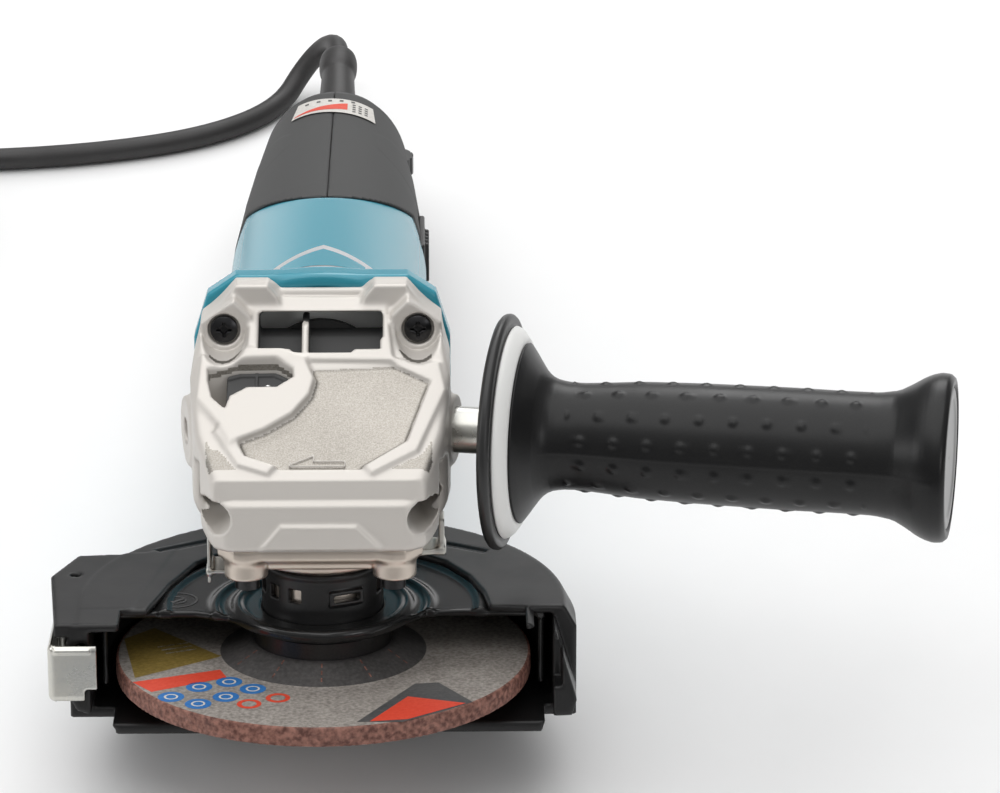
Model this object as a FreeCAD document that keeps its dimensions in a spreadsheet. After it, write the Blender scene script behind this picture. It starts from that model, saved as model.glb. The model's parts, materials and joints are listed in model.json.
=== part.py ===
import FreeCAD, Part
import math
import os
import re

import Sketcher

# Angle grinder with a side handle, a steel wheel guard and a clip-on cutting-off cover.
#
# Every sub-part is drawn in the tool's own frame: the spindle's axis is Z, the disc's upper face is
# Z = 0, the motor lies along +Y and the side handle stands out towards +X.  At the end one common
# placement sets the whole tool down as it rests on a bench: on the rear edge of its cover and on the
# underside of its tail, which tilts the body.  The lead is drawn on the bench itself.

os.makedirs("parts", exist_ok=True)
doc = FreeCAD.newDocument("angle_grinder")

Vector = FreeCAD.Vector
Rotation = FreeCAD.Rotation
Placement = FreeCAD.Placement

# ---------------------------------------------------------------- driving dimensions (mm, degrees)

SIZES = {
    # disc and spindle
    "disc_radius": 62.5,
    "disc_thick": 6.0,
    "disc_bore": 11.1,
    "disc_cone_radius": 31.5,
    "disc_hub_radius": 22.0,
    "disc_rise": 4.5,
    "flange_radius": 21.0,
    "flange_top": 11.2,
    "nut_radius": 19.0,
    "spindle_radius": 6.0,
    "spindle_tip_radius": 4.0,
    "spindle_top": 78.0,
    # bearing box and gear housing
    "neck_radius": 16.4,
    "neck_bottom": 17.0,
    "box_bottom": 33.0,
    "joint_level": 43.0,
    "motor_axis": 75.0,
    "gear_bottom": 60.0,
    "gear_face": 67.2,
    "gear_radius": 23.4,
    "gear_groove_radius": 14.9,
    "housing_front": 37.0,
    "housing_half": 39.5,
    "housing_rear": 34.0,
    "housing_top": 107.0,
    "chamber_radius": 24.6,
    "chamber_top": 72.0,
    "pad_x": 29.0,
    "pad_high": 94.8,
    "pad_low": 54.0,
    # motor
    "barrel_radius": 31.8,
    "barrel_bore": 28.8,
    "barrel_rear": 141.0,
    "flange_rear": 42.0,
    "stator_front": 58.0,
    "stator_rear": 106.0,
    "stator_bore": 20.6,
    "rotor_radius": 20.0,
    "shaft_radius": 7.0,
    # tail
    "tail_end": 281.0,
    "tail_foot": 262.0,
    "tail_drop": 30.5,
    "tail_wall": 2.8,
    # guard and cover
    "band_radius": 18.2,
    "plate_low": 12.5,
    "plate_high": 14.5,
    "guard_radius": 66.4,
    "guard_front": 6.0,
    "guard_bottom": 9.0,
    "cover_radius": 76.0,
    "cover_top": 17.0,
    "cover_bottom": 18.0,
    "cover_plate": 3.6,
    "cover_front": 23.0,
    "cover_inner": 50.0,
    # side handle
    "handle_x": 42.0,
    "handle_y": 5.0,
    "handle_z": 68.0,
    "handle_sweep": 11.5,
    # cord
    "cord_radius": 3.9,
    "coil_diameter": 86.0,
    "sleeve_height": 83.0,
    "sleeve_rise": 15.6,
    "sleeve_length": 58.2,
}

sheet = doc.addObject("Spreadsheet::Sheet", "sizes")
for row, (word, value) in enumerate(SIZES.items(), start=1):
    sheet.set(f"A{row}", word)
    sheet.set(f"B{row}", str(value))
    sheet.setAlias(f"B{row}", word)
doc.recompute()


def size(word):
    """The value that the sheet holds for one driving dimension."""
    return float(sheet.get(word))


def bound(text):
    """An expression in which each driving dimension's word points at its cell."""
    return re.sub(r"[a-z_]+", lambda found: "sizes." + found[0] if found[0] in SIZES else found[0], text)


def is_driven(text):
    """True where a text names at least one driving dimension."""
    return any(word in SIZES for word in re.findall(r"[a-z_]+", text))


probe = doc.addObject("Part::Vertex", "probe")
nodes = {}        # node name -> document object, in the tool's frame
bench_nodes = {}  # node name -> document object, in the bench's frame
counter = {}


def fresh(name):
    """A document name that isn't used yet."""
    counter[name] = counter.get(name, 0) + 1
    return f"{name}_{counter[name]}"


def node(name, item):
    """Keep a finished document object as the sub-part called name."""
    item.Label = name
    nodes[name] = item
    return item


# ---------------------------------------------------------------- small builders

ALONG_BODY = Rotation(Vector(1, 0, 0), -90)    # local Z runs along the motor, towards the rear
SIDE_VIEW = Rotation(Vector(1, 1, 1), 120)     # sketch x is Y, sketch y is Z, and it extrudes to +X
FRONT_VIEW = Rotation(Vector(1, 0, 0), 90)     # sketch x is X, sketch y is Z, and it extrudes to -Y


def outline(sketch, points):
    """Draw a closed outline whose corners are held at the given driven coordinates."""
    doc.recompute()
    values = [[number(text) for text in point] for point in points]
    count = len(points)
    for i in range(count):
        here = Vector(*values[i], 0)
        there = Vector(*values[(i + 1) % count], 0)
        sketch.addGeometry(Part.LineSegment(here, there), False)
    for i in range(count):
        sketch.addConstraint(Sketcher.Constraint("Coincident", i, 2, (i + 1) % count, 1))
    for i in range(count):
        for kind, text, value in zip(("DistanceX", "DistanceY"), points[i], values[i]):
            index = sketch.addConstraint(Sketcher.Constraint(kind, -1, 1, i, 1, value))
            if is_driven(str(text)):
                sketch.setExpression(f"Constraints[{index}]", bound(str(text)))
    return sketch


def number(text):
    """Work out a coordinate: a plain number, or a text that names driving dimensions."""
    if not isinstance(text, str):
        return float(text)
    probe.setExpression("X", bound(text))
    probe.recompute()
    return float(probe.X)


def turned(name, points, spot=Placement()):
    """A body turned about its local Z from corners given as (radius, height)."""
    body = doc.addObject("PartDesign::Body", fresh(name))
    sketch = body.newObject("Sketcher::SketchObject", fresh(name + "_profile"))
    plane = [item for item in body.Origin.OriginFeatures if item.Role == "XZ_Plane"][0]
    sketch.AttachmentSupport = [(plane, "")]
    sketch.MapMode = "FlatFace"
    outline(sketch, points)
    turn = body.newObject("PartDesign::Revolution", fresh(name + "_turn"))
    turn.Profile = sketch
    turn.ReferenceAxis = (sketch, ["V_Axis"])
    turn.Angle = 360
    body.Placement = spot
    return body


def ring(name, inner, outer, low, high, spot=Placement()):
    """A plain turned ring, or a disc where inner is 0."""
    return turned(name, [(inner, low), (outer, low), (outer, high), (inner, high)], spot)


def slab(name, points, low, high):
    """A flat body padded upwards from low to high, from corners given as (x, y)."""
    body = doc.addObject("PartDesign::Body", fresh(name))
    sketch = body.newObject("Sketcher::SketchObject", fresh(name + "_outline"))
    plane = [item for item in body.Origin.OriginFeatures if item.Role == "XY_Plane"][0]
    sketch.AttachmentSupport = [(plane, "")]
    sketch.MapMode = "FlatFace"
    outline(sketch, points)
    pad = body.newObject("PartDesign::Pad", fresh(name + "_pad"))
    pad.Profile = sketch
    pad.Length = number(f"{high} - ({low})")
    if is_driven(f"{low} {high}"):
        pad.setExpression("Length", bound(f"{high} - ({low})"))
        body.setExpression("Placement.Base.z", bound(str(low)))
    body.Placement = Placement(Vector(0, 0, number(low)), Rotation())
    return body


def prism(name, points, low, high, turn):
    """A straight solid from an outline seen in one of the side views, between two stations."""
    sketch = doc.addObject("Sketcher::SketchObject", fresh(name + "_outline"))
    outline(sketch, points)
    solid = doc.addObject("Part::Extrusion", fresh(name))
    solid.Base = sketch
    solid.DirMode = "Normal"
    solid.Solid = True
    solid.LengthFwd = number(f"{high} - ({low})")
    if is_driven(f"{low} {high}"):
        solid.setExpression("LengthFwd", bound(f"{high} - ({low})"))
    start = turn.multVec(Vector(0, 0, 1)) * number(low)
    sketch.Placement = Placement(start, turn)
    return solid


def box(name, x, y, z):
    """A box between pairs of driven coordinates."""
    solid = doc.addObject("Part::Box", fresh(name))
    for side, (low, high) in zip(("Length", "Width", "Height"), (x, y, z)):
        solid.setExpression(side, bound(f"({high}) - ({low})"))
    solid.Placement.Base = Vector(number(x[0]), number(y[0]), number(z[0]))
    return solid


def rod(name, radius, low, high, at=(0, 0), along="Z"):
    """A cylinder along X, Y or Z; at holds the other two coordinates in X, Y, Z order."""
    solid = doc.addObject("Part::Cylinder", fresh(name))
    solid.setExpression("Radius", bound(str(radius)))
    solid.setExpression("Height", bound(f"({high}) - ({low})"))
    start, first, second = number(low), number(at[0]), number(at[1])
    if along == "X":
        solid.Placement = Placement(Vector(start, first, second), Rotation(Vector(0, 1, 0), 90))
    elif along == "Y":
        solid.Placement = Placement(Vector(first, start, second), ALONG_BODY)
    else:
        solid.Placement = Placement(Vector(first, second, start), Rotation())
    return solid


def fused(name, *shapes):
    """One solid from several that touch."""
    item = doc.addObject("Part::MultiFuse", fresh(name))
    item.Shapes = list(shapes)
    item.Refine = False
    return item


def group(name, shapes):
    """Separate solids kept together under one name."""
    item = doc.addObject("Part::Compound", fresh(name))
    item.Links = list(shapes)
    return item


def cut(name, base, *tools):
    """A solid with others taken away."""
    item = doc.addObject("Part::Cut", fresh(name))
    item.Base = base
    item.Tool = tools[0] if len(tools) == 1 else fused(name + "_tools", *tools)
    item.Refine = False
    return item


def common(name, *shapes):
    """What several solids share."""
    item = doc.addObject("Part::MultiCommon", fresh(name))
    item.Shapes = list(shapes)
    return item


def mirrored_x(points):
    """An outline's right half, low to high, with its mirror image added."""
    return list(points) + [(f"-({x})", y) for x, y in reversed(points)]


# ---------------------------------------------------------------- disc, spindle and crown gear

TEETH_PINION = 12
TEETH_GEAR = 42


def disc_and_spindle():
    """The parts that turn with the spindle, apart from the crown gear."""
    node("grinding_disc", turned("grinding_disc", [
        ("disc_bore", "disc_rise - disc_thick"), ("disc_hub_radius - 2", "disc_rise - disc_thick"),
        ("disc_cone_radius - 2", "-disc_thick"), ("disc_radius", "-disc_thick"), ("disc_radius", 0),
        ("disc_cone_radius", 0), ("disc_hub_radius", "disc_rise"), ("disc_bore", "disc_rise")]))
    node("inner_flange", turned("inner_flange", [
        (7.05, "disc_rise + 0.02"), ("flange_radius", "disc_rise + 0.02"), ("flange_radius", "flange_top - 1.6"),
        ("flange_radius - 1.6", "flange_top"), (7.05, "flange_top")]))
    spindle = turned("spindle", [
        (0, -9), (6, -9), (7, -8), (7, "flange_top"), (10, "flange_top"), (10, 16), ("spindle_radius + 2", 22),
        ("spindle_radius + 2", "box_bottom"), ("spindle_radius", "box_bottom"),
        ("spindle_radius", "gear_face + 2.5"), ("spindle_tip_radius", "gear_face + 4"),
        ("spindle_tip_radius", "spindle_top"), (0, "spindle_top")])
    node("spindle", spindle)
    holes = [rod("pin_hole", 2.5, -9, 0, (14.5 * sign, 0)) for sign in (1, -1)]
    nut = turned("nut_blank", [
        (7.05, -7.5), ("nut_radius - 1", -7.5), ("nut_radius", -6.6),
        ("nut_radius", "disc_rise - disc_thick - 0.02"), (10.9, "disc_rise - disc_thick - 0.02"), (10.9, 1.5),
        (7.05, 1.5)])
    node("lock_nut", cut("lock_nut", nut, *holes))
    node("gear_retaining_ring", ring(
        "gear_retaining_ring", "spindle_radius + 0.03", "spindle_radius + 2.4", "gear_face + 0.02",
        "gear_face + 1.2"))
    node("spindle_seal_ring", ring(
        "spindle_seal_ring", "spindle_radius + 2.03", 11.9, 28, 31))


def tooth(reach, foot, half_reach, half_foot, inner_share, turn):
    """One straight bevel tooth that tapers to the point where both gear axes cross.

    reach and foot are the (radius, height) of the tooth's tip and foot at its outer end, measured
    from the crossing point; the half widths are there too.  inner_share scales the inner end.
    """
    ends = []
    for share in (1.0, inner_share):
        corners = [Vector(foot[0] * share, half_foot * share, foot[1] * share),
                   Vector(reach[0] * share, half_reach * share, reach[1] * share),
                   Vector(reach[0] * share, -half_reach * share, reach[1] * share),
                   Vector(foot[0] * share, -half_foot * share, foot[1] * share)]
        ends.append(Part.makePolygon(corners + corners[:1]))
    solid = Part.makeLoft(ends, True, True)
    solid.rotate(Vector(0, 0, 0), Vector(0, 0, 1), turn)
    return solid


def bevel_gears():
    """The crown gear on the spindle and the pinion on the armature shaft, in mesh at rest.

    Both pitch cones have their points where the two axes cross.  Teeth are straight-sided wedges,
    cut short and thin, so they turn past each other with a little backlash.
    """
    crossing = Vector(0, 0, size("motor_axis"))
    gear_pitch = size("gear_radius") - 0.4
    pinion_pitch = gear_pitch * TEETH_PINION / TEETH_GEAR
    module = 2 * gear_pitch / TEETH_GEAR
    addendum, dedendum = 0.5 * module, 0.95 * module
    half_pitch = math.pi * module / 4
    half_top, half_root = 0.38 * half_pitch, 0.85 * half_pitch
    inner_share = 0.8
    lean = math.atan2(pinion_pitch, gear_pitch)
    tilt_in, tilt_up = math.sin(lean), math.cos(lean)

    # crown gear: tip and foot of a tooth, seen from the crossing point, which lies above it
    tip = (gear_pitch + addendum * tilt_in, -pinion_pitch + addendum * tilt_up)
    foot = (gear_pitch - dedendum * tilt_in, -pinion_pitch - dedendum * tilt_up)
    low_z = size("gear_bottom") - crossing.z
    inner = gear_pitch * inner_share
    sink = 0.25
    blank = Part.makePolygon([
        Vector(size("spindle_radius"), 0, low_z), Vector(size("gear_radius") - 0.6, 0, low_z),
        Vector(foot[0] + 0.1, 0, foot[1] + sink), Vector(foot[0] * inner_share, 0, foot[1] * inner_share + sink),
        Vector(inner - 0.9, 0, size("gear_face") - crossing.z),
        Vector(size("spindle_radius"), 0, size("gear_face") - crossing.z),
        Vector(size("spindle_radius"), 0, low_z)])
    crown = Part.Face(blank).revolve(Vector(0, 0, 0), Vector(0, 0, 1), 360)
    slot = Part.makeCylinder(size("gear_groove_radius") + 2.5, 4, Vector(0, 0, size("gear_face") - 4 - crossing.z))
    slot = slot.cut(Part.makeCylinder(size("gear_groove_radius") - 2.5, 4,
                                      Vector(0, 0, size("gear_face") - 4 - crossing.z)))
    crown = crown.cut(slot)
    step = 360 / TEETH_GEAR
    teeth = [tooth(tip, foot, half_top, half_root, inner_share, 90 + step * i) for i in range(TEETH_GEAR)]
    crown = crown.fuse(teeth)
    crown.translate(crossing)
    gear = doc.addObject("Part::Feature", "crown_gear")
    gear.Shape = crown
    node("crown_gear", gear)

    # pinion: the same, about its own axis, with a gap and not a tooth at the lowest point
    tip = (pinion_pitch + addendum * tilt_up, gear_pitch + addendum * tilt_in)
    foot = (pinion_pitch - dedendum * tilt_up, gear_pitch - dedendum * tilt_in)
    front = foot[1] * inner_share
    blank = Part.makePolygon([
        Vector(4, 0, front), Vector(foot[0] * inner_share + sink, 0, front),
        Vector(foot[0] + sink, 0, foot[1]), Vector(foot[0] - 0.4, 0, foot[1] + 0.5), Vector(4, 0, foot[1] + 0.5),
        Vector(4, 0, front)])
    pinion = Part.Face(blank).revolve(Vector(0, 0, 0), Vector(0, 0, 1), 360)
    step = 360 / TEETH_PINION
    teeth = [tooth(tip, foot, half_top, half_root, inner_share, 90 + step * (i + 0.5))
             for i in range(TEETH_PINION)]
    pinion = pinion.fuse(teeth)
    pinion.rotate(Vector(0, 0, 0), Vector(1, 0, 0), -90)
    pinion.translate(crossing)
    gear = doc.addObject("Part::Feature", "pinion")
    gear.Shape = pinion
    node("pinion", gear)


# ---------------------------------------------------------------- armature


def on_motor_axis():
    """The placement that lays a turned part's local Z along the motor's axis."""
    return Placement(Vector(0, 0, size("motor_axis")), ALONG_BODY)


def armature():
    """The parts that turn with the motor's shaft, apart from the pinion."""
    spot = on_motor_axis()
    node("armature_shaft", turned("armature_shaft", [
        (0, 12), (3.5, 12), (4, 12.6), (4, 24.2), (5, 24.2), (5, 34.5), ("shaft_radius", 34.5),
        ("shaft_radius", 129), (3.5, 129), (3.5, 139), (0, 139)], spot))
    node("pinion_nut", ring("pinion_nut", 4.03, 6.4, 14.2, 17.6, spot))
    core = ring("core_blank", "shaft_radius", "rotor_radius", "stator_front", "stator_rear", spot)
    slots = []
    for i in range(12):
        turn = Rotation(Vector(0, 0, 1), 30 * i)
        slot = box("core_slot", ("rotor_radius - 5.5", "rotor_radius + 1"), (-1.1, 1.1),
                   ("stator_front - 1", "stator_rear + 1"))
        slot.Placement = spot.multiply(Placement(Vector(), turn)).multiply(slot.Placement)
        slots.append(slot)
    node("armature_core", cut("armature_core", core, *slots))
    inner = "shaft_radius + 0.3"
    ends = [turned("winding_end", [(inner, a), (13, a), (17, b), (17, c), (inner, c)], spot)
            for a, b, c in ((50, 52, "stator_front - 0.05"), (112, 110, "stator_rear + 0.05"))]
    node("armature_windings", group("armature_windings", ends))
    node("commutator", ring("commutator", "shaft_radius", 12.4, 113, 127.5, spot))
    hub = turned("fan_disc", [
        ("shaft_radius", 37), (10, 37), (12, 38.2), (26.5, 38.2), (26.5, 40), ("shaft_radius", 40)], spot)
    blades = []
    for i in range(15):
        blade = box("fan_blade", (12, 26), (-0.8, 0.8), (39.5, 46))
        lean = Placement(Vector(0, 4, 0), Rotation(Vector(0, 0, 1), -18))
        blade.Placement = spot.multiply(Placement(Vector(), Rotation(Vector(0, 0, 1), 24 * i))).multiply(
            lean).multiply(blade.Placement)
        blades.append(blade)
    node("cooling_fan", fused("cooling_fan", hub, *blades))


# ---------------------------------------------------------------- bearings


def bearings():
    """Four bearings, each drawn as one ring with the groove that shows between its two races."""
    rear = on_motor_axis()

    def bearing(name, inner, outer, low, high, spot=Placement()):
        middle = (inner + outer) / 2
        gap = (outer - inner) / 6
        points = [(inner, low), (middle - gap, low), (middle - gap, low + 0.8), (middle + gap, low + 0.8),
                  (middle + gap, low), (outer, low), (outer, high), (middle + gap, high),
                  (middle + gap, high - 0.8), (middle - gap, high - 0.8), (middle - gap, high), (inner, high)]
        node(name, turned(name, points, spot))

    bearing("spindle_ball_bearing", 6.02, 16, 33.2, 43)
    bearing("spindle_needle_bearing", 4.02, 7.5, 71.3, 78)
    bearing("rotor_front_bearing", 5.02, 15, 24.2, 32, rear)
    bearing("rotor_rear_bearing", 3.52, 9.5, 131.5, 138, rear)
    node("bearing_retainer", ring("bearing_retainer", 8.5, 19, 32, 33.9, rear))


# ---------------------------------------------------------------- gear housing and bearing box


def handle_spot(side):
    """The frame of a side handle's thread: side is 1 on the right and -1 on the left."""
    sweep = math.radians(size("handle_sweep"))
    reach = Vector(side * math.cos(sweep), -math.sin(sweep), 0)
    start = Vector(side * size("handle_x"), size("handle_y"), size("handle_z"))
    return Placement(start, Rotation(Vector(0, 0, 1), reach))


def at_handle(item, side):
    """Move a shape drawn along Z to the side handle's thread."""
    item.Placement = handle_spot(side).multiply(item.Placement)
    return item


def gear_housing():
    """The cast gear housing: plan, side and front outlines in common, hollowed for the gears."""
    plan = prism("housing_plan", mirrored_x([
        (25.5, "-housing_front"), (31, -33), (36.5, -16), ("housing_half", 4), ("housing_half", "housing_rear")]),
        "joint_level", "housing_top + 1", Rotation())
    side = prism("housing_side", [
        ("-housing_front - 1", "joint_level"), ("-housing_front - 1", 57.5), (-34, 59.5), (-32.5, 65.3), (-7, 80.5),
        (7, 88.5), (30, 101), (30, "housing_top"), ("housing_rear", "housing_top"),
        ("housing_rear", "joint_level")], "-housing_half - 1", "housing_half + 1", SIDE_VIEW)
    front = prism("housing_front_shape", mirrored_x([
        (33, "joint_level"), ("housing_half", 50), ("housing_half", 85), (34.5, 98), (26, "housing_top")]),
        "-housing_rear", "housing_front + 2", FRONT_VIEW)
    body = common("housing_block", plan, side, front)
    pads = [rod("screw_pad", 6.4, 22, "housing_rear", (f"{sign} * pad_x", "pad_high"), "Y") for sign in (1, -1)]
    bosses = [at_handle(rod("handle_boss", 10.5, -14, -1.8), side) for side in (1, -1)]
    body = fused("housing_outside", body, *bosses, *pads)
    chamber = turned("gear_chamber", [
        (0, "joint_level - 1"), ("chamber_radius", "joint_level - 1"), ("chamber_radius", "chamber_top - 2.6"),
        (16, "chamber_top"), (0, "chamber_top")])
    tools = [chamber,
             rod("needle_seat", 7.5, "chamber_top - 1", "spindle_top + 1"),
             rod("pinion_room", 9.6, 9, 25, (0, "motor_axis"), "Y"),
             rod("bearing_seat", 15, 24.2, 33, (0, "motor_axis"), "Y"),
             rod("retainer_seat", 19.2, 32, "housing_rear + 1", (0, "motor_axis"), "Y"),
             box("air_window", (-18.5, 18.5), (4, 21), (92, 101)),
             box("air_duct", (-18.5, 18.5), (15, "housing_rear + 1"), (91.5, 99)),
             box("lock_pocket", (-26.5, -8.5), (-9, 10), (74.6, 100)),
             rod("lock_bore", 2.26, 70.5, 75, (-14.8, 1.8)),
             at_handle(rod("stud_hole", 4, -13.8, 0), 1),
             at_handle(rod("spare_hole", 4, -13.8, 0), -1)]
    for sign in (1, -1):
        upper = (f"{sign} * pad_x", "pad_high")
        lower = (f"{sign} * (pad_x + 1.5)", "pad_low")
        tools.append(rod("upper_screw_way", 4.9, -30, 22, upper, "Y"))
        tools.append(rod("lower_screw_way", 4.9, -45, 22, lower, "Y"))
        tools.append(rod("upper_screw_hole", 2.45, 21, "housing_rear + 1", upper, "Y"))
        tools.append(rod("lower_screw_hole", 2.45, 21, "housing_rear + 1", lower, "Y"))
        for level in (-24, 24):
            tools.append(rod("cap_screw_hole", 2.0, "joint_level - 1", 50, (21.5 * sign, level)))
    node("gear_housing", cut("gear_housing", body, *tools))


def bearing_box():
    """The casting under the gear housing: it holds the spindle's ball bearing and carries the guard."""
    plate = slab("box_plate", mirrored_x([(25, -30), (30, -25), (32, 0), (31, 25), (24, 31)]),
                 "box_bottom", "joint_level")
    neck = rod("box_neck", "neck_radius", "neck_bottom", "box_bottom")
    arch = rod("front_arch", 13, "box_bottom - 1", "box_bottom + 5", (0, -35))
    tools = [rod("ball_seat", 16, "box_bottom + 0.2", "joint_level + 1"),
             rod("neck_bore", 12, "neck_bottom - 1", "box_bottom + 1"), arch]
    for sign in (1, -1):
        for level in (-24, 24):
            tools.append(rod("cap_screw_way", 2.5, "box_bottom - 1", "joint_level + 1", (21.5 * sign, level)))
    node("bearing_box", cut("bearing_box", fused("box_outside", plate, neck), *tools))


def screws():
    """Four cap screws under the bearing box and four long screws through the gear housing's corners."""
    cap = []
    long_ones = []
    for sign in (1, -1):
        for level in (-24, 24):
            head = rod("cap_head", 3.6, "box_bottom - 3.6", "box_bottom", (21.5 * sign, level))
            shank = rod("cap_shank", 1.98, "box_bottom", 49.5, (21.5 * sign, level))
            socket = rod("cap_socket", 1.7, "box_bottom - 4", "box_bottom - 1.8", (21.5 * sign, level))
            cap.append(cut("cap_screw", fused("cap_screw_blank", head, shank), socket))
        for x, z in (("pad_x", "pad_high"), ("pad_x + 1.5", "pad_low")):
            at = (f"{sign} * ({x})", z)
            head = rod("long_head", 4.1, 19.4, 22, at, "Y")
            shank = rod("long_shank", 2.4, 22, "flange_rear - 0.5", at, "Y")
            long_ones.append(fused("long_screw", head, shank))
    node("bearing_box_screws", group("bearing_box_screws", cap))
    node("gear_housing_screws", group("gear_housing_screws", long_ones))


# ---------------------------------------------------------------- motor housing and its contents


def motor_housing():
    """The moulded barrel with its front flange and the web that carries the rear bearing."""
    flange = prism("motor_flange", mirrored_x([
        (29, 44.5), (37.5, 50), (38.8, 60), (38.8, 88), (34.6, 101.5), (26, 107.3)]),
        "-flange_rear", "-housing_rear", FRONT_VIEW)
    barrel = rod("motor_barrel", "barrel_radius", "housing_rear", "barrel_rear", (0, "motor_axis"), "Y")
    outside = fused("motor_outside", flange, barrel)
    tools = [rod("motor_bore", "barrel_bore", "housing_rear - 1", 130.5, (0, "motor_axis"), "Y"),
             rod("rear_bearing_seat", 9.5, 130, "barrel_rear + 1", (0, "motor_axis"), "Y")]
    for i in range(6):
        angle = math.radians(60 * i + 30)
        at = (19.5 * math.cos(angle), 75 + 19.5 * math.sin(angle))
        tools.append(rod("air_way", 6.5, 130, "barrel_rear + 1", at, "Y"))
    for sign in (1, -1):
        for x, z in (("pad_x", "pad_high"), ("pad_x + 1.5", "pad_low")):
            at = (f"{sign} * ({x})", z)
            tools.append(rod("screw_way", 2.45, "housing_rear - 1", "flange_rear + 1", at, "Y"))
    node("motor_housing", cut("motor_housing", outside, *tools))


def motor_inside():
    """Baffle, stator, field coils and brush gear inside the barrel."""
    spot = on_motor_axis()
    half_turn = Placement(Vector(0, 239, 0), Rotation(Vector(0, 0, 1), 180))
    node("fan_baffle", ring("fan_baffle", 18, "barrel_bore - 0.05", 47.2, 49, spot))
    packet = ring("stator_blank", "stator_bore", "barrel_bore - 0.05", "stator_front", "stator_rear", spot)
    ways = [box("coil_way", (-9, 9), ("stator_front - 1", "stator_rear + 1"), (low, high))
            for low, high in ((94, 99.5), (50.5, 56))]
    node("stator_core", cut("stator_core", packet, *ways))
    coils = [ring("field_coil", "rotor_radius + 0.7", "barrel_bore - 1.5", low, high, spot)
             for low, high in ((50.5, "stator_front - 0.05"), ("stator_rear + 0.05", 112.5))]
    node("field_coils", group("field_coils", coils))
    holders, blocks, springs = [], [], []
    for sign in (1, -1):
        outer = box("holder", (13.4, 28), (115.6, 123.4), (70, 80))
        room = box("holder_room", (12, 29), (117, 122), (72, 78))
        block = box("brush", (12.55, 22.5), (117.05, 121.95), (72.05, 77.95))
        spring = cut("brush_spring", rod("spring_out", 2.4, 22.6, 27.9, (119.5, 75), "X"),
                     rod("spring_in", 1.5, 22, 29, (119.5, 75), "X"))
        holder = cut("brush_holder", outer, room)
        for item, kept in ((holder, holders), (block, blocks), (spring, springs)):
            if sign < 0:
                item.Placement = half_turn.multiply(item.Placement)
            kept.append(item)
    node("brush_holders", group("brush_holders", holders))
    node("carbon_brushes", group("carbon_brushes", blocks))
    node("brush_springs", group("brush_springs", springs))


# ---------------------------------------------------------------- tail

TAIL_STATIONS = ((141, 31.6, 31.6), (180, 30.2, 31.2), (235, 27.4, 30.6), (262, 25.6, 30.5), (275, 22.8, 27.4),
                 (281, 18.5, 23.5))
TAIL_SCREWS = ((150, 51), (222, 51), (268, 54))


def tail_loft(name, shrink, ends):
    """The tail's ovals drawn in by shrink and lofted; ends are where the loft starts and stops."""
    ovals = []
    for y, half_width, half_height in TAIL_STATIONS:
        oval = doc.addObject("Part::Ellipse", fresh(name + "_oval"))
        oval.MajorRadius = half_height - shrink
        oval.MinorRadius = half_width - shrink
        place = min(max(y, ends[0]), ends[1])
        oval.Placement = Placement(Vector(0, place, size("motor_axis")),
                                   FRONT_VIEW.multiply(Rotation(Vector(0, 0, 1), 90)))
        ovals.append(oval)
    loft = doc.addObject("Part::Loft", fresh(name))
    loft.Sections = ovals
    loft.Solid = True
    loft.Ruled = True
    return loft


def sleeve_spot():
    """The frame of the cord sleeve: local Z runs along it from the tail's end face."""
    rise = math.radians(size("sleeve_rise"))
    way = Vector(0, math.cos(rise), math.sin(rise))
    return Placement(Vector(0, size("tail_end"), size("sleeve_height")), Rotation(Vector(0, 0, 1), way))


def tail():
    """The rear handle: two moulded half shells with their screws, and what they hold."""
    outside = tail_loft("tail_outside", 0, (size("barrel_rear") + 0.02, size("tail_end")))
    inside = tail_loft("tail_inside", size("tail_wall"), (size("barrel_rear") - 2, size("tail_end") - 3))
    sleeve_way = rod("sleeve_way", 7.7, -9, 6)
    sleeve_way.Placement = sleeve_spot().multiply(sleeve_way.Placement)
    rods = [rod("screw_boss", 4.2, -18, 17, spot, "X") for spot in TAIL_SCREWS]
    bosses = common("screw_bosses", outside, fused("boss_rods", *rods))
    shell = cut("tail_shell", fused("tail_walls", cut("tail_wall", outside, inside), bosses), sleeve_way)
    half = box("half_room", (0, 50), ("barrel_rear - 3", "tail_end + 3"), (20, 130))
    left_half = box("other_half_room", (-50, 0), ("barrel_rear - 3", "tail_end + 3"), (20, 130))
    slider_bed = box("slider_bed", (28.7, 40), (143, 189), (65, 85))
    slider_slot = box("slider_slot", (20, 40), (150, 176), (72, 78))
    dial_slot = box("dial_slot", (10, 40), (235, 259), (80.2, 87.8))
    right = common("tail_right_blank", shell, half)
    heads = [rod("screw_head_way", 3.05, 14, 40, spot, "X") for spot in TAIL_SCREWS]
    shanks = [rod("screw_shank_way", 1.65, -15.05, 15, spot, "X") for spot in TAIL_SCREWS]
    node("tail_shell_right", cut("tail_shell_right", right, slider_bed, slider_slot, dial_slot, *heads, *shanks))
    left = common("tail_left_blank", shell, left_half)
    node("tail_shell_left", cut("tail_shell_left", left, *shanks))
    screws = [fused("tail_screw", rod("tail_screw_shank", 1.6, -15, 14, spot, "X"),
                    rod("tail_screw_head", 3, 14, 16, spot, "X")) for spot in TAIL_SCREWS]
    node("tail_screws", group("tail_screws", screws))
    node("switch_body", box("switch_body", (-6, 21), (154, 190), (66, 84)))
    node("speed_controller", box("speed_controller", (-16, 16), (196, 230), (57, 72)))
    node("cord_clamp", cut("cord_clamp", box("clamp_bar", (-12, 12), (262, 270), (77, 90)),
                           rod("clamp_hole", 4.2, 260, 272, (0, "sleeve_height"), "Y")))


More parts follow.
